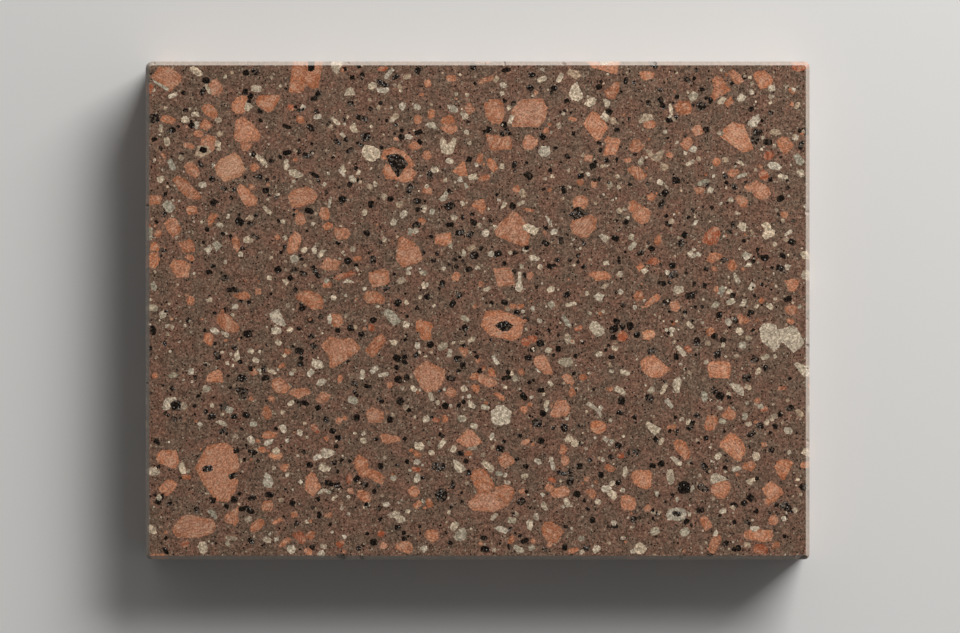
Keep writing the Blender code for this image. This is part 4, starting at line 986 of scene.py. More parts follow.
def plain_outline(x, y, length, width, turn, draw):
    """A box with each of its corners cut, as a small crystal's section has."""
    half_l, half_w = length / 2, width / 2
    corners = []
    for sign_x, sign_y in ((1, 1), (-1, 1), (-1, -1), (1, -1)):
        cut = draw.uniform(*CORNER_CUT)
        along = (sign_x * half_l * (1 - cut), sign_y * half_w)
        across = (sign_x * half_l, sign_y * half_w * (1 - cut))
        corners += [across, along] if sign_x == sign_y else [along, across]
    angle = math.radians(turn) if turn else draw.uniform(-FREE_TURN, FREE_TURN)
    cos, sin = math.cos(angle), math.sin(angle)
    return [(x + u * cos - v * sin, y + u * sin + v * cos) for u, v in corners]


def random_turn(draw):
    """A turn about each axis, by up to half a circle."""
    about_z, about_x, about_y = [
        Matrix.Rotation(draw.uniform(0, math.pi), 3, axis) for axis in "ZXY"
    ]
    return about_z @ about_x @ about_y


def loose_crystal(look, centre, size, draw):
    """A crystal turned any way: a stretched box with some of its tips cut."""
    halves = [size / 2 * draw.uniform(*STRETCH) for _ in range(3)]
    turn = random_turn(draw)
    planes = []
    for axis in range(3):
        for sign in (-1, 1):
            normal = turn @ Vector([sign if k == axis else 0 for k in range(3)])
            planes.append((normal, normal.dot(centre) + halves[axis]))
    for signs in CUT_TIPS:
        tip = turn @ Vector([s * h for s, h in zip(signs, halves)])
        normal = tip.normalized()
        planes.append((normal, normal.dot(centre) + tip.length * draw.uniform(*TIP_CUT)))
    return Crystal(look, planes, centre, math.hypot(*halves) + WEAR, size)


def varied_size(least, most, draw):
    """Small sizes come more often than large ones."""
    return least + (most - least) * draw.random() ** SMALL_BIAS


def placed_crystals(draw):
    """The crystals that the tables place on the polished face."""
    crystals = []
    for look, outlines in OUTLINED.items():
        for numbers in outlines:
            corners = list(zip(numbers[0::2], numbers[1::2]))
            crystals.append(crystal_from_outline(look, corners, draw))
    for look, boxes in PLAIN.items():
        for box in boxes:
            crystals.append(crystal_from_outline(look, plain_outline(*box, draw), draw))
    return crystals


def touching(first, second):
    """Whether two crystals' cuts by the polished face overlap by more than a sliver."""
    if (first.centre - second.centre).length > first.reach + second.reach:
        return False
    shape = first.section(POLISHED_PLANE, first.wear * WEAR)
    shape = second.held(shape, POLISHED_PLANE, second.wear * WEAR)
    return abs(polygon_area(shape)) > LEAST_OVERLAP


def join_parts(crystals):
    """Crystals of one look that overlap are parts of one grown crystal."""
    for number, first in enumerate(crystals):
        for second in crystals[number + 1:]:
            if first.look != second.look or not touching(first, second):
                continue
            old, new = second.group, first.group
            for crystal in crystals:
                if crystal.group is old:
                    crystal.group = new
    for crystal in crystals:
        if crystal.group is not crystal:
            crystal.group.area += crystal.size * crystal.size


def holder_test(crystals):
    """A test that says whether one of the crystals holds a point."""
    centres = np.array([crystal.centre[:] for crystal in crystals]).reshape(-1, 3)
    reaches = np.array([crystal.reach for crystal in crystals])

    def is_held(point):
        place = np.array([point[:]])
        near = np.flatnonzero(((centres - place) ** 2).sum(axis=1) < reaches ** 2)
        return any(crystals[number].depth(place)[0] > 0 for number in near)

    return is_held


def grains_on(facets, kinds, taken, draw):
    """Crystals at random places on the given flats, as many as their area asks for, less those that
    would start inside a crystal that is taken."""
    grains = []
    is_taken = holder_test(taken)
    for facet in facets:
        for look, density, least, most in kinds:
            wanted = facet.area * density / DENSITY_AREA
            count = int(wanted) + (draw.random() < wanted % 1)
            for _ in range(count):
                size = varied_size(least, most, draw)
                spot = facet.random_point(draw)
                place = spot - facet.normal * draw.uniform(*GRAIN_DEPTH) * size
                grain = loose_crystal(look, place, size, draw)
                if not is_taken(spot):
                    grains.append(grain)
    return grains


def add_loop(polygon, points, edges):
    first = len(points)
    points += polygon
    count = len(polygon)
    edges += [(first + k, first + (k + 1) % count) for k in range(count)]


def cut_facet(facet, crystals):
    """Cut a flat into triangles along every crystal that it passes through."""
    points = list(facet.outline)
    edges = []
    for crystal in crystals:
        inner = []
        for inset in crystal.insets():
            polygon = crystal.section(facet, inset)
            if abs(polygon_area(polygon)) < LEAST_CUT:
                break
            add_loop(polygon, points, edges)
            inner = polygon
        if inner:
            points.append(tuple(sum(p[k] for p in inner) / len(inner) for k in (0, 1)))
    boundary = list(range(len(facet.outline)))
    flat_points, _, faces, _, _, sources = delaunay_2d_cdt(
        [Vector(p) for p in points], edges, [boundary], KEEP_INSIDE, CUT_POINT, True)
    triangles = [face for face, source in zip(faces, sources) if source]
    return [tuple(p) for p in flat_points], triangles


def cells_round(crystal):
    """The cells of the grid that a crystal may reach."""
    spans = [
        range(int((middle - crystal.reach) // GRID), int((middle + crystal.reach) // GRID) + 1)
        for middle in crystal.centre
    ]
    return product(*spans)


def crystals_over(middles, crystals):
    """For each triangle's middle, the smallest crystal that holds it and the next one below."""
    cells = {}
    for number, middle in enumerate(middles):
        cells.setdefault(tuple(middle // GRID), []).append(number)
    on_top = [None] * len(middles)
    below = [None] * len(middles)
    for crystal in sorted(crystals, key=lambda c: -c.group.area):
        found = [number for cell in cells_round(crystal) for number in cells.get(cell, ())]
        if not found:
            continue
        inside = crystal.depth(middles[found]) > 0
        for number in np.array(found)[inside]:
            if on_top[number] is crystal.group:
                continue
            below[number] = on_top[number]
            on_top[number] = crystal.group
    return on_top, below


def depths_of(corners, owners, parts):
    """How deep each triangle's corners lie in the crystal that holds the triangle."""
    depths = np.zeros(corners.shape[:2])
    by_owner = {}
    for number, owner in enumerate(owners):
        if owner is not None:
            by_owner.setdefault(owner, []).append(number)
    for owner, numbers in by_owner.items():
        points = corners[numbers].reshape(-1, 3)
        deepest = np.max([part.depth(points) for part in parts[owner]], axis=0)
        depths[numbers] = np.maximum(deepest, 0).reshape(-1, 3)
    return depths


def colour_of(crystal, draw):
    """The look's colour with a crystal's own difference, and a number that sets it apart."""
    red, green, blue = LOOKS[crystal.look][1]
    light = draw.uniform(*LIGHT_SPREAD)
    warm = draw.uniform(*WARM_SPREAD)
    return (red * light * warm, green * light, blue * light / warm, draw.random())


def store(mesh, name, kind, domain, values):
    """Add one attribute to the mesh."""
    column = mesh.attributes.new(name, kind, domain)
    key = "color" if kind == "FLOAT_COLOR" else "value"
    column.data.foreach_set(key, np.array(values, "f").ravel())


def store_layer(mesh, layer, owners, depths, colours):
    """Store one layer of crystals: colour and mineral for each face, depth for each corner."""
    colour = [colours[owner] if owner else NO_CRYSTAL for owner in owners]
    mineral = [LOOKS[owner.look][0] if owner else GROUNDMASS for owner in owners]
    store(mesh, layer + "_colour", "FLOAT_COLOR", "FACE", colour)
    store(mesh, layer + "_mineral", "FLOAT", "FACE", mineral)
    store(mesh, layer + "_depth", "FLOAT", "CORNER", depths)


def map_place(point, normal):
    """Where a point of the slab lies in the maps."""
    x, y = point.x + LENGTH / 2, point.y + WIDTH / 2
    if abs(normal.z) > MAP_SLOPE:
        left, low, wide, high = MAP_TOP if normal.z > 0 else MAP_BACK
        return left + x * wide, low + y * high
    if abs(normal.x) > abs(normal.y):
        row, along = (0 if normal.x > 0 else 1), y
    else:
        row, along = (2 if normal.y > 0 else 3), x
    low = (row + MAP_SIDE_GAP) * MAP_SIDE_ROW
    return MAP_SIDE_LEFT + along * MAP_SIDE_SCALE, low + point.z * MAP_SIDE_SCALE


def store_map(mesh, points, triangles, sources):
    """Store where each triangle's corners lie in the maps."""
    layout = mesh.uv_layers.new(name="OFBake")
    places = [
        map_place(points[corner], facet.normal)
        for triangle, facet in zip(triangles, sources) for corner in triangle
    ]
    layout.data.foreach_set("uv", np.array(places, "f").ravel())


def stone_facets(node):
    """The slab's flats: the node's triangles, joined where they lie in one plane."""
    mesh = bmesh.new()
    mesh.from_mesh(node.data)
    bmesh.ops.scale(mesh, vec=(1 / MM,) * 3, verts=mesh.verts)
    bmesh.ops.remove_doubles(mesh, verts=mesh.verts, dist=SAME_POINT)
    bmesh.ops.dissolve_limit(
        mesh, angle_limit=SAME_PLANE, use_dissolve_boundaries=False,
        verts=mesh.verts, edges=mesh.edges)
    mesh.normal_update()
    facets = [Facet(face) for face in mesh.faces]
    mesh.free()
    return facets


def cut_flats(facets, crystals):
    """The points and triangles of all the flats, and the flat that each triangle lies on."""
    points, triangles, sources = [], [], []
    for facet in facets:
        nearby = [crystal for crystal in crystals if facet.near(crystal)]
        flat_points, faces = cut_facet(facet, nearby)
        first = len(points)
        points += [facet.solid(*p) for p in flat_points]
        triangles += [tuple(first + corner for corner in face) for face in faces]
        sources += [facet] * len(faces)
    return points, triangles, sources


def slab_mesh(facets, crystals):
    """One mesh of all the flats, cut along the crystals, with what the material reads."""
    points, triangles, sources = cut_flats(facets, crystals)
    corners = np.array([p[:] for p in points])[np.array(triangles)]
    on_top, below = crystals_over(corners.mean(axis=1), crystals)
    parts = {}
    for crystal in crystals:
        parts.setdefault(crystal.group, []).append(crystal)
    draw = random.Random(COLOUR_SEED)
    colours = {group: colour_of(group, draw) for group in parts}
    mesh = bpy.data.meshes.new("slab_stone")
    mesh.from_pydata([p * MM for p in points], [], triangles)
    store_layer(mesh, "crystal", on_top, depths_of(corners, on_top, parts), colours)
    store_layer(mesh, "host", below, depths_of(corners, below, parts), colours)
    store(mesh, "finish", "FLOAT", "FACE", [facet.finish for facet in sources])
    store_map(mesh, points, triangles, sources)
    return mesh


def weld(mesh):
    """Join the flats where they meet, and drop slivers that hang on by one edge."""
    work = bmesh.new()
    work.from_mesh(mesh)
    loose = [vertex for vertex in work.verts if not vertex.link_faces]
    bmesh.ops.delete(work, geom=loose, context="VERTS")
    bmesh.ops.remove_doubles(work, verts=work.verts, dist=WELD * MM)
    hanging = [face for face in work.faces if sum(edge.is_boundary for edge in face.edges) > 1]
    bmesh.ops.delete(work, geom=hanging, context="FACES")
    work.to_mesh(mesh)
    work.free()


def build_slab():
    facets = stone_facets(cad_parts["slab"])
    draw = random.Random(SEED)
    crystals = placed_crystals(draw)
    join_parts(crystals)
    top = [facet for facet in facets if facet.finish == POLISHED]
    sawn = [facet for facet in facets if facet.finish == SAWN]
    grains = grains_on(top, TOP_GRAINS, crystals, draw)
    crystals += grains + grains_on(sawn, SAWN_GRAINS, [], draw)
    mesh = slab_mesh(facets, crystals)
    weld(mesh)
    slab = bpy.data.objects.new("rhyolite_slab", mesh)
    bpy.context.scene.collection.objects.link(slab)
    return slab


class Tree:
    """Adds nodes to a material, so that a formula can be written as one. A noise or a cell pattern
    has its scale in waves or cells to a millimetre."""

    # The places of a colour mix's sockets
    MIX_FIRST, MIX_SECOND, MIX_RESULT = 6, 7, 2

    def __init__(self, nodes, links):
        self.nodes = nodes
        self.links = links

    def feed(self, socket, value):
        if isinstance(value, bpy.types.NodeSocket):
            self.links.new(value, socket)
        else:
            socket.default_value = value

    def add(self, kind, inputs=None, **settings):
        node = self.nodes.new("ShaderNode" + kind)
        for name, value in settings.items():
            setattr(node, name, value)
        for name, value in (inputs or {}).items():
            self.feed(node.inputs[name], value)
        return node

    def math(self, operation, *values):
        node = self.add("Math", operation=operation)
        for socket, value in zip(node.inputs, values):
            self.feed(socket, value)
        return node.outputs[0]

    def vector(self, operation, *values):
        node = self.add("VectorMath", operation=operation)
        for socket, value in zip(node.inputs, values):
            self.feed(socket, value)
        return node.outputs[0]

    def between(self, share, start, end):
        """The number that lies the given share of the way from start to end."""
        return self.math("MULTIPLY_ADD", share, self.math("SUBTRACT", end, start), start)

    def is_one(self, value, wanted):
        """1 where a value is the wanted whole number, and 0 elsewhere."""
        return self.math("COMPARE", value, float(wanted), 0.25)

    def scaled(self, vector, scale):
        node = self.add("VectorMath", {"Vector": vector, "Scale": scale}, operation="SCALE")
        return node.outputs[0]

    def step(self, value, span, results=(0.0, 1.0)):
        """Goes smoothly from the first result to the second as the value crosses the span."""
        low, high = span
        start, end = results
        node = self.add("MapRange", {
            "Value": value, "From Min": low, "From Max": high, "To Min": start, "To Max": end,
        }, interpolation_type="SMOOTHSTEP")
        return node.outputs[0]

    def lit(self, colour, value, span, factors):
        """A colour made darker or lighter, by a factor that follows the value."""
        return self.scaled(colour, self.step(value, span, factors))

    def noise(self, place, scale, detail=2.0, roughness=0.5):
        node = self.add("TexNoise", {
            "Vector": place, "Scale": scale, "Detail": detail, "Roughness": roughness,
        })
        return node.outputs["Fac"]

    def cells(self, place, scale):
        return self.add("TexVoronoi", {"Vector": place, "Scale": scale}, feature="F1")

    def seams(self, place, scale, span):
        """1 on the borders of cells and 0 away from them."""
        edges = self.add(
            "TexVoronoi", {"Vector": place, "Scale": scale}, feature="DISTANCE_TO_EDGE")
        return self.step(edges.outputs["Distance"], span)

    def mix(self, share, first, second):
        node = self.add("Mix", data_type="RGBA", blend_type="MIX")
        self.feed(node.inputs["Factor"], share)
        self.feed(node.inputs[self.MIX_FIRST], first)
        self.feed(node.inputs[self.MIX_SECOND], second)
        return node.outputs[self.MIX_RESULT]

    def part(self, colour, channel):
        return self.add("SeparateColor", {"Color": colour}).outputs[channel]

    def attribute(self, name):
        return self.add("Attribute", attribute_type="GEOMETRY", attribute_name=name)


def rgb(red, green, blue):
    return (red, green, blue, 1.0)


# Colours of the groundmass, and those that each mineral takes on in places
BROWN_ROCK = rgb(0.153, 0.102, 0.070)
RED_ROCK = rgb(0.196, 0.100, 0.066)
FELDSPAR_VEIN = rgb(0.580, 0.350, 0.230)
FELDSPAR_PALE = rgb(0.520, 0.320, 0.205)
FELDSPAR_STAIN = rgb(0.300, 0.092, 0.044)
PLAGIOCLASE_GREEN = rgb(0.350, 0.315, 0.210)
PLAGIOCLASE_SEAM = rgb(0.110, 0.078, 0.052)
QUARTZ_CLOUD = rgb(0.125, 0.090, 0.066)
QUARTZ_SEAM = rgb(0.095, 0.064, 0.045)
# Painted glints: a pale colour that stands in for light reflected from cracks inside quartz
PAINTED_GLINT = rgb(0.46, 0.45, 0.42)
BORDER_STAIN = rgb(0.055, 0.036, 0.026)

# The paler colour that a ground and a sawn flat take: how much of it shows, and its colour. On the sawn
# sides it is stone dust. On the ground bevels it is grinding dust and painted sheen: it is made as pale as
# a bevel that catches the light, on every bevel alike.
GROUND_DUST_AND_SHEEN = (0.52, rgb(0.52, 0.46, 0.40))
SAWN_DUST = (0.24, rgb(0.34, 0.30, 0.26))

# The polish's roughness, and what quartz, grinding and sawing add to it
POLISH = (0.20, 0.30)
QUARTZ_ADDS = -0.10
GROUND_ADDS = 0.24
SAWN_ADDS = 0.46

# Feldspar: the factors on its colour in its core and its rim, how deep the rim ends, how far noise
# moves that, and how close the growth lines stand, in radians to a millimetre
FELDSPAR_CORE = (1.06, 1.07, 1.06)
FELDSPAR_RIM = (0.98, 0.86, 0.75)
RIM_SPAN = (1.9, 3.9)
RIM_WANDER = 3.2
GROWTH_LINES = 9.0

# Quartz: the share of its bits that are clear, how strongly the cloudy ones show, and the share that has no
# painted glint. The second number is what the glassy kind adds.
CLEAR_BITS = (0.90, -0.24)
CLOUD_STRENGTH = (0.45, 0.40)
GLINTLESS_BITS = (0.94, -0.22)

# How deep the noise wears a crystal's outline, in millimetres, how much deeper it wears
# plagioclase's, and over how far the crystal then comes in
WORN_DEPTH = 0.43
PLAGIOCLASE_WORN = 0.06
BORDER_BLUR = 0.08

# Round specks: cells to a millimetre, the share of the cells that hold one, its radius in cells, how
# strongly it shows, and its colour
GROUNDMASS_SPECKS = [
    (0.80, 0.10, 0.36, 0.45, rgb(0.265, 0.130, 0.078)),
    (1.45, 0.16, 0.36, 0.75, rgb(0.380, 0.310, 0.215)),
    (1.00, 0.10, 0.33, 0.80, rgb(0.420, 0.350, 0.245)),
    (1.60, 0.34, 0.36, 0.90, rgb(0.012, 0.009, 0.007)),
    (1.05, 0.22, 0.34, 0.95, rgb(0.008, 0.006, 0.005)),
]
FELDSPAR_FLECKS = (1.7, 0.15, 0.27, 0.85, rgb(0.040, 0.026, 0.019))
PLAGIOCLASE_FLECKS = (2.0, 0.12, 0.27, 0.85, rgb(0.030, 0.022, 0.017))

# The inner edge of a speck's border, as a share of its radius, and the shift that keeps each kind
# of speck in places of its own
SPECK_EDGE = 0.6
SPECK_SHIFT = (31.7, 12.3, 5.1)

# A crystal's seed moves its pattern by up to this, and its streaks are stretched by these scales
SEED_SHIFT = (61.7, 43.1, 97.3)
STREAK_SCALE = (0.35, 2.4, 1.2)

# The saw's marks run along the sides: their scale in X, Y and Z
SAW_SCALE = (0.25, 0.25, 3.4)

# The height of the surface's fine relief, in metres, and its strength on the polished face and on
# the others
RELIEF_HEIGHT = 0.00006
POLISHED_RELIEF = 0.03
COARSE_RELIEF = 0.45


def with_specks(tree, place, colour, kind):
    """The colour with one kind of round speck in it."""
    scale, share, radius, strength, speck = kind
    cells = tree.cells(place, scale)
    chosen = tree.math("GREATER_THAN", tree.part(cells.outputs["Color"], 0), 1 - share)
    close = tree.step(cells.outputs["Distance"], (radius, radius * SPECK_EDGE))
    shown = tree.math("MULTIPLY", tree.math("MULTIPLY", chosen, close), strength)
    return tree.mix(shown, colour, speck)


def groundmass(tree, place):
    """Fine brown rock with redder and greyer patches, made of grains too small to be crystals."""
    patches = tree.step(tree.noise(place, 0.16, 4.0, 0.60), (0.36, 0.64))
    grains = tree.cells(place, 2.2).outputs["Color"]
    hue = tree.math("MULTIPLY_ADD", tree.part(grains, 0), 0.3, tree.math("MULTIPLY", patches, 0.7))
    colour = tree.mix(hue, BROWN_ROCK, RED_ROCK)
    mottle = tree.noise(place, 0.70, 4.0, 0.62)
    colour = tree.lit(colour, mottle, (0.28, 0.72), (0.70, 1.30))
    colour = tree.lit(colour, tree.part(grains, 1), (0.0, 1.0), (0.66, 1.38))
    rough = tree.noise(place, 1.7, 2.0, 0.7)
    colour = tree.lit(colour, rough, (0.30, 0.70), (0.70, 1.30))
    for kind in GROUNDMASS_SPECKS:
        shift = [distance * kind[0] for distance in SPECK_SHIFT]
        colour = with_specks(tree, tree.vector("ADD", place, shift), colour, kind)
    return colour


def feldspar(tree, place, grain, tint, depth):
    """Potassium feldspar: a redder rim round a paler core, growth lines along its outline, streaks
    along one direction, and a few dark flecks."""
    wander = tree.noise(place, 0.5, 3.0, 0.6)
    inward = tree.math("ADD", depth, tree.math("MULTIPLY", wander, RIM_WANDER))
    core = tree.vector("MULTIPLY", tint, FELDSPAR_CORE)
    rim = tree.vector("MULTIPLY", tint, FELDSPAR_RIM)
    colour = tree.mix(tree.step(inward, RIM_SPAN), rim, core)
    growth = tree.math("SINE", tree.math("MULTIPLY", inward, GROWTH_LINES))
    colour = tree.lit(colour, growth, (-1.0, 1.0), (0.83, 1.17))
    streaks = tree.noise(grain, 1.0, 4.0, 0.6)
    colour = tree.lit(colour, streaks, (0.25, 0.75), (0.82, 1.18))
    seams = tree.seams(grain, 0.55, (0.20, 0.03))
    veins = tree.math("MULTIPLY", seams, tree.step(wander, (0.35, 0.65)))
    colour = tree.mix(tree.math("MULTIPLY", veins, 0.65), colour, FELDSPAR_VEIN)
    mottle = tree.noise(place, 1.7, 3.0, 0.7)
    colour = tree.lit(colour, mottle, (0.30, 0.70), (0.60, 1.42))
    pale = tree.step(tree.noise(place, 0.62, 4.0, 0.65), (0.57, 0.70), (0.0, 0.50))
    colour = tree.mix(pale, colour, FELDSPAR_PALE)
    stain = tree.step(tree.noise(place, 0.95, 3.0, 0.6), (0.58, 0.72), (0.0, 0.6))
    colour = tree.mix(stain, colour, FELDSPAR_STAIN)
    return with_specks(tree, place, colour, FELDSPAR_FLECKS)


def plagioclase(tree, place, tint):
    """Plagioclase: a mosaic of cream to greenish grains with brown seams and dark flecks."""
    grains = tree.cells(place, 1.9).outputs["Color"]
    colour = tree.lit(tint, tree.part(grains, 0), (0.0, 1.0), (0.72, 1.30))
    clouds = tree.noise(place, 1.3, 4.0, 0.65)
    colour = tree.lit(colour, clouds, (0.25, 0.75), (0.68, 1.30))
    greenish = tree.step(tree.part(grains, 1), (0.62, 0.95), (0.0, 0.4))
    colour = tree.mix(greenish, colour, PLAGIOCLASE_GREEN)
    seams = tree.seams(place, 1.9, (0.11, 0.03))
    seams = tree.math("MULTIPLY", seams, tree.step(clouds, (0.60, 0.42)))
    colour = tree.mix(tree.math("MULTIPLY", seams, 0.75), colour, PLAGIOCLASE_SEAM)
    return with_specks(tree, place, colour, PLAGIOCLASE_FLECKS)


def by_glass(tree, glassy, numbers):
    """One of quartz's numbers, with what the glassy kind adds."""
    plain, added = numbers
    return tree.math("MULTIPLY_ADD", glassy, added, plain)


def quartz(tree, place, tint, mineral):
    """Quartz: near black where it is clear and brown where it is cloudy, with seams and with painted white
    glints. The glints are pale spots that stand in for light reflected from cracks inside it. Glassy quartz
    has more of each."""
    glassy = tree.math("GREATER_THAN", mineral, (QUARTZ + GLASSY) / 2)
    bits = tree.cells(place, 1.7).outputs["Color"]
    cloudy = tree.math("GREATER_THAN", tree.part(bits, 0), by_glass(tree, glassy, CLEAR_BITS))
    cloudy = tree.math("MULTIPLY", cloudy, by_glass(tree, glassy, CLOUD_STRENGTH))
    colour = tree.mix(cloudy, tint, QUARTZ_CLOUD)
    seams = tree.seams(place, 1.1, (0.05, 0.02))
    colour = tree.mix(tree.math("MULTIPLY", seams, 0.5), colour, QUARTZ_SEAM)
    # Painted glints: pale spots in some of the cells, standing in for light reflected from cracks inside
    # the quartz
    mosaic = tree.cells(place, 2.1)
    bright = tree.part(mosaic.outputs["Color"], 1)
    chosen = tree.math("GREATER_THAN", bright, by_glass(tree, glassy, GLINTLESS_BITS))
    close = tree.step(mosaic.outputs["Distance"], (0.38, 0.24))
    painted_glints = tree.math("MULTIPLY", chosen, tree.math("MULTIPLY", close, 0.85))
    return tree.mix(painted_glints, colour, PAINTED_GLINT)


def read_layer(tree, layer, worn):
    """A layer's colour, and its seed, mineral, depth and how far inside the crystal's worn outline
    the place lies."""
    colour = tree.attribute(layer + "_colour")
    mineral = tree.attribute(layer + "_mineral").outputs["Fac"]
    depth = tree.attribute(layer + "_depth").outputs["Fac"]
    is_plagioclase = tree.is_one(mineral, PLAGIOCLASE)
    deepest = tree.math("MULTIPLY_ADD", is_plagioclase, PLAGIOCLASE_WORN, WORN_DEPTH)
    inside = tree.math("SUBTRACT", depth, tree.math("MULTIPLY", worn, deepest))
    return colour.outputs["Color"], (colour.outputs["Alpha"], mineral, depth, inside)


def crystals_shown(tree, place):
    """The crystals' colour, how much of it shows at a place, and whether it is quartz. Where the
    upper layer's crystal is worn off, the one that holds it shows."""
    worn = tree.step(tree.noise(place, 1.5, 4.0, 0.65), (0.22, 0.78), (0.04, 1.0))
    host_tint, host = read_layer(tree, "host", worn)
    upper_tint, upper = read_layer(tree, "crystal", worn)
    use_upper = tree.math("GREATER_THAN", upper[-1], 0.0)
    tint = tree.mix(use_upper, host_tint, upper_tint)
    seed, mineral, depth, inside = [
        tree.between(use_upper, low, high) for low, high in zip(host, upper)
    ]
    own_place = tree.vector("ADD", place, tree.scaled(SEED_SHIFT, seed))
    turned = tree.add("VectorRotate", {
        "Vector": own_place, "Angle": tree.math("MULTIPLY", seed, math.tau),
    }, rotation_type="Z_AXIS").outputs[0]
    grain = tree.vector("MULTIPLY", turned, STREAK_SCALE)
    colour = feldspar(tree, own_place, grain, tint, depth)
    is_plagioclase = tree.is_one(mineral, PLAGIOCLASE)
    colour = tree.mix(is_plagioclase, colour, plagioclase(tree, own_place, tint))
    is_quartz = tree.math("GREATER_THAN", mineral, QUARTZ - 0.5)
    colour = tree.mix(is_quartz, colour, quartz(tree, own_place, tint, mineral))
    border = tree.step(inside, (1.1, 0.3))
    stained = tree.step(tree.noise(place, 0.9, 3.0, 0.7), (0.52, 0.62), (0.0, 0.50))
    stained = tree.math("MULTIPLY", stained, tree.math("MULTIPLY_ADD", is_plagioclase, -0.4, 1.0))
    colour = tree.mix(tree.math("MULTIPLY", border, stained), colour, BORDER_STAIN)
    return colour, tree.step(inside, (0.0, BORDER_BLUR)), is_quartz


# Mixes the colour toward a paler one where given: stone dust on the sawn sides, grinding dust with painted
# sheen on the bevels
def with_pale_layer(tree, colour, where, pale_layer):
    share, pale_colour = pale_layer
    return tree.mix(tree.math("MULTIPLY", where, share), colour, pale_colour)


def roughness(tree, place, glossy, is_ground, is_sawn):
    """The polish, glossier on quartz and dull where the stone is ground or sawn."""
    polish = tree.step(tree.noise(place, 2.0), (0.3, 0.7), POLISH)
    rough = tree.math("MULTIPLY_ADD", glossy, QUARTZ_ADDS, polish)
    rough = tree.math("MULTIPLY_ADD", is_ground, GROUND_ADDS, rough)
    return tree.math("MULTIPLY_ADD", is_sawn, SAWN_ADDS, rough)


def relief(tree, place, is_ground, is_sawn):
    """Pits and the marks of the saw, which the polish has all but taken off."""
    marks = tree.noise(tree.vector("MULTIPLY", place, SAW_SCALE), 0.9, 3.0, 0.6)
    pits = tree.noise(place, 3.2, 3.0, 0.7)
    coarse = tree.math("MAXIMUM", is_ground, is_sawn)
    bump = tree.add("Bump", {
        "Strength": tree.math("MULTIPLY_ADD", coarse, COARSE_RELIEF, POLISHED_RELIEF),
        "Distance": RELIEF_HEIGHT,
        "Height": tree.math("MULTIPLY_ADD", marks, 0.6, pits),
    })
    return bump.outputs[0]


def stone_material():
    """The whole rock: groundmass, crystals in it, crystals in those, and the three finishes."""
    material = bpy.data.materials.new("rhyolite")
    material.use_nodes = True
    tree = Tree(material.node_tree.nodes, material.node_tree.links)
    place = tree.scaled(tree.add("TexCoord").outputs["Object"], 1 / MM)
    crystal_colour, shown, is_quartz = crystals_shown(tree, place)
    colour = tree.mix(shown, groundmass(tree, place), crystal_colour)
    glossy = tree.math("MULTIPLY", shown, is_quartz)
    finish = tree.attribute("finish").outputs["Fac"]
    is_ground = tree.is_one(finish, GROUND)
    is_sawn = tree.is_one(finish, SAWN)
    # The bevels are paled by grinding dust and painted sheen, the sawn sides by stone dust
    colour = with_pale_layer(tree, colour, is_ground, GROUND_DUST_AND_SHEEN)
    colour = with_pale_layer(tree, colour, is_sawn, SAWN_DUST)
    shader = tree.nodes["Principled BSDF"]
    tree.feed(shader.inputs["Base Color"], colour)
    tree.feed(shader.inputs["Roughness"], roughness(tree, place, glossy, is_ground, is_sawn))
    tree.feed(shader.inputs["Normal"], relief(tree, place, is_ground, is_sawn))
    return material


# The floor lies this little under the slab, so that the two don't share a plane. It reaches this
# far either way.
FLOOR_GAP = 0.1 * MM
FLOOR_REACH = 2.0
FLOOR_COLOUR = rgb(0.70, 0.69, 0.67)
FLOOR_ROUGHNESS = 0.8

# The light comes from the far right, low
KEY_ELEVATION = math.radians(30)
KEY_TURN = math.radians(36)
KEY_DISTANCE = 1.6
KEY_SIZE = (1.1, 0.7)
KEY_POWER = 35.0

# The soft light round the slab: its strength at the sides and overhead, and the heights between
# which it changes
FILL_SIDES = 0.55
FILL_TOP = 0.02
FILL_HEIGHTS = (0.3, 0.95)

# How much of the soft light comes from the near left and from the far right. It changes between
# these cosines of the angle to the light's side.
FILL_NEAR = 0.30
FILL_FAR = 1.35
FILL_COSINES = (-0.8, 0.8)
FILL_COLOUR = rgb(1.0, 1.0, 1.0)

# The camera looks straight down, far enough away that the slab's sides don't show. VIEW_WIDTH is
# what it sees across the polished face.
VIEW_WIDTH = 289.0 * MM
CAMERA_DISTANCE = 1.5
VIEW_CENTRE = (0.72 * MM, -1.82 * MM)
SENSOR = 36.0


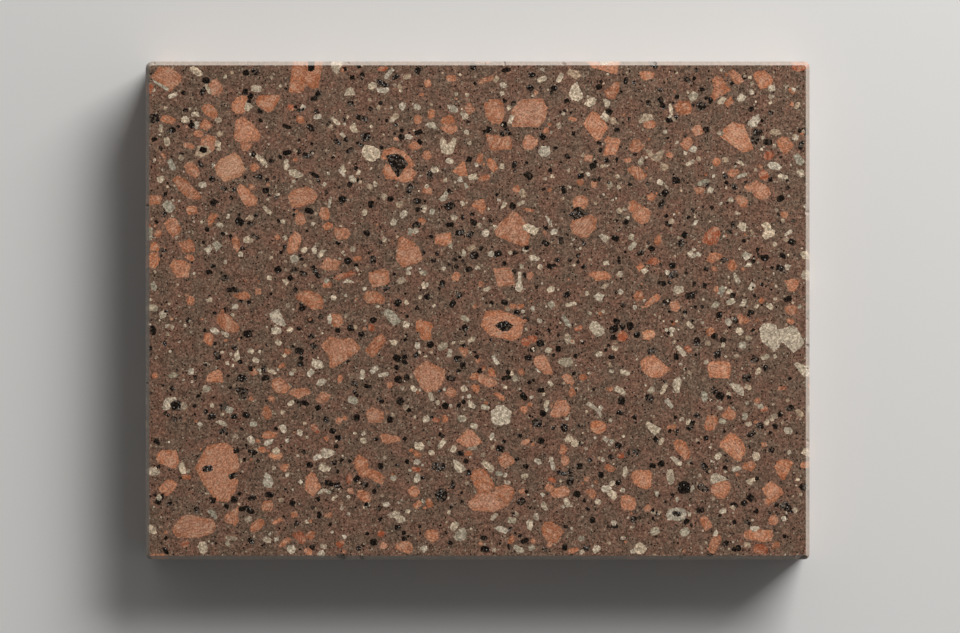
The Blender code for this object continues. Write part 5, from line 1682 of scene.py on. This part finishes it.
def add_floor():
    """A plain pale floor under the slab."""
    mesh = bpy.data.meshes.new("floor")
    shape = bmesh.new()
    bmesh.ops.create_grid(shape, x_segments=1, y_segments=1, size=FLOOR_REACH)
    shape.to_mesh(mesh)
    shape.free()
    floor = bpy.data.objects.new("floor", mesh)
    floor.location.z = -FLOOR_GAP
    material = bpy.data.materials.new("floor")
    material.use_nodes = True
    shader = material.node_tree.nodes["Principled BSDF"]
    shader.inputs["Base Color"].default_value = FLOOR_COLOUR
    shader.inputs["Roughness"].default_value = FLOOR_ROUGHNESS
    mesh.materials.append(material)
    bpy.context.scene.collection.objects.link(floor)
    return floor


def add_light():
    light = bpy.data.lights.new("key", "AREA")
    light.shape = "RECTANGLE"
    light.size, light.size_y = KEY_SIZE
    light.energy = KEY_POWER
    lamp = bpy.data.objects.new("key", light)
    level = KEY_DISTANCE * math.cos(KEY_ELEVATION)
    height = KEY_DISTANCE * math.sin(KEY_ELEVATION)
    lamp.location = (level * math.sin(KEY_TURN), level * math.cos(KEY_TURN), height)
    lamp.rotation_euler = (-lamp.location).to_track_quat("-Z", "Y").to_euler()
    bpy.context.scene.collection.objects.link(lamp)


def set_world():
    """Soft light from the sides, most of it from the far right, and dark overhead, so that the
    polish mirrors little."""
    world = bpy.data.worlds.new("studio")
    world.use_nodes = True
    tree = Tree(world.node_tree.nodes, world.node_tree.links)
    direction = tree.add("TexCoord").outputs["Generated"]
    height = tree.add("SeparateXYZ", {"Vector": direction}).outputs["Z"]
    key_side = (math.sin(KEY_TURN), math.cos(KEY_TURN), 0.0)
    facing = tree.add("VectorMath", {0: direction, 1: key_side}, operation="DOT_PRODUCT")
    share = tree.step(facing.outputs["Value"], FILL_COSINES, (FILL_NEAR, FILL_FAR))
    strength = tree.step(height, FILL_HEIGHTS, (FILL_SIDES, FILL_TOP))
    background = tree.nodes["Background"]
    background.inputs["Color"].default_value = FILL_COLOUR
    tree.feed(background.inputs["Strength"], tree.math("MULTIPLY", strength, share))
    bpy.context.scene.world = world


def add_camera():
    camera = bpy.data.cameras.new("camera")
    camera.sensor_width = SENSOR
    camera.lens = SENSOR * CAMERA_DISTANCE / VIEW_WIDTH
    holder = bpy.data.objects.new("camera", camera)
    holder.location = (*VIEW_CENTRE, TOP * MM + CAMERA_DISTANCE)
    bpy.context.scene.collection.objects.link(holder)
    bpy.context.scene.camera = holder


def main():
    slab = build_slab()
    slab.data.materials.append(stone_material())
    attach(slab, "root")
    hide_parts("slab")
    add_floor()
    add_light()
    set_world()
    add_camera()
    bpy.context.scene.view_settings.view_transform = "Standard"


main()
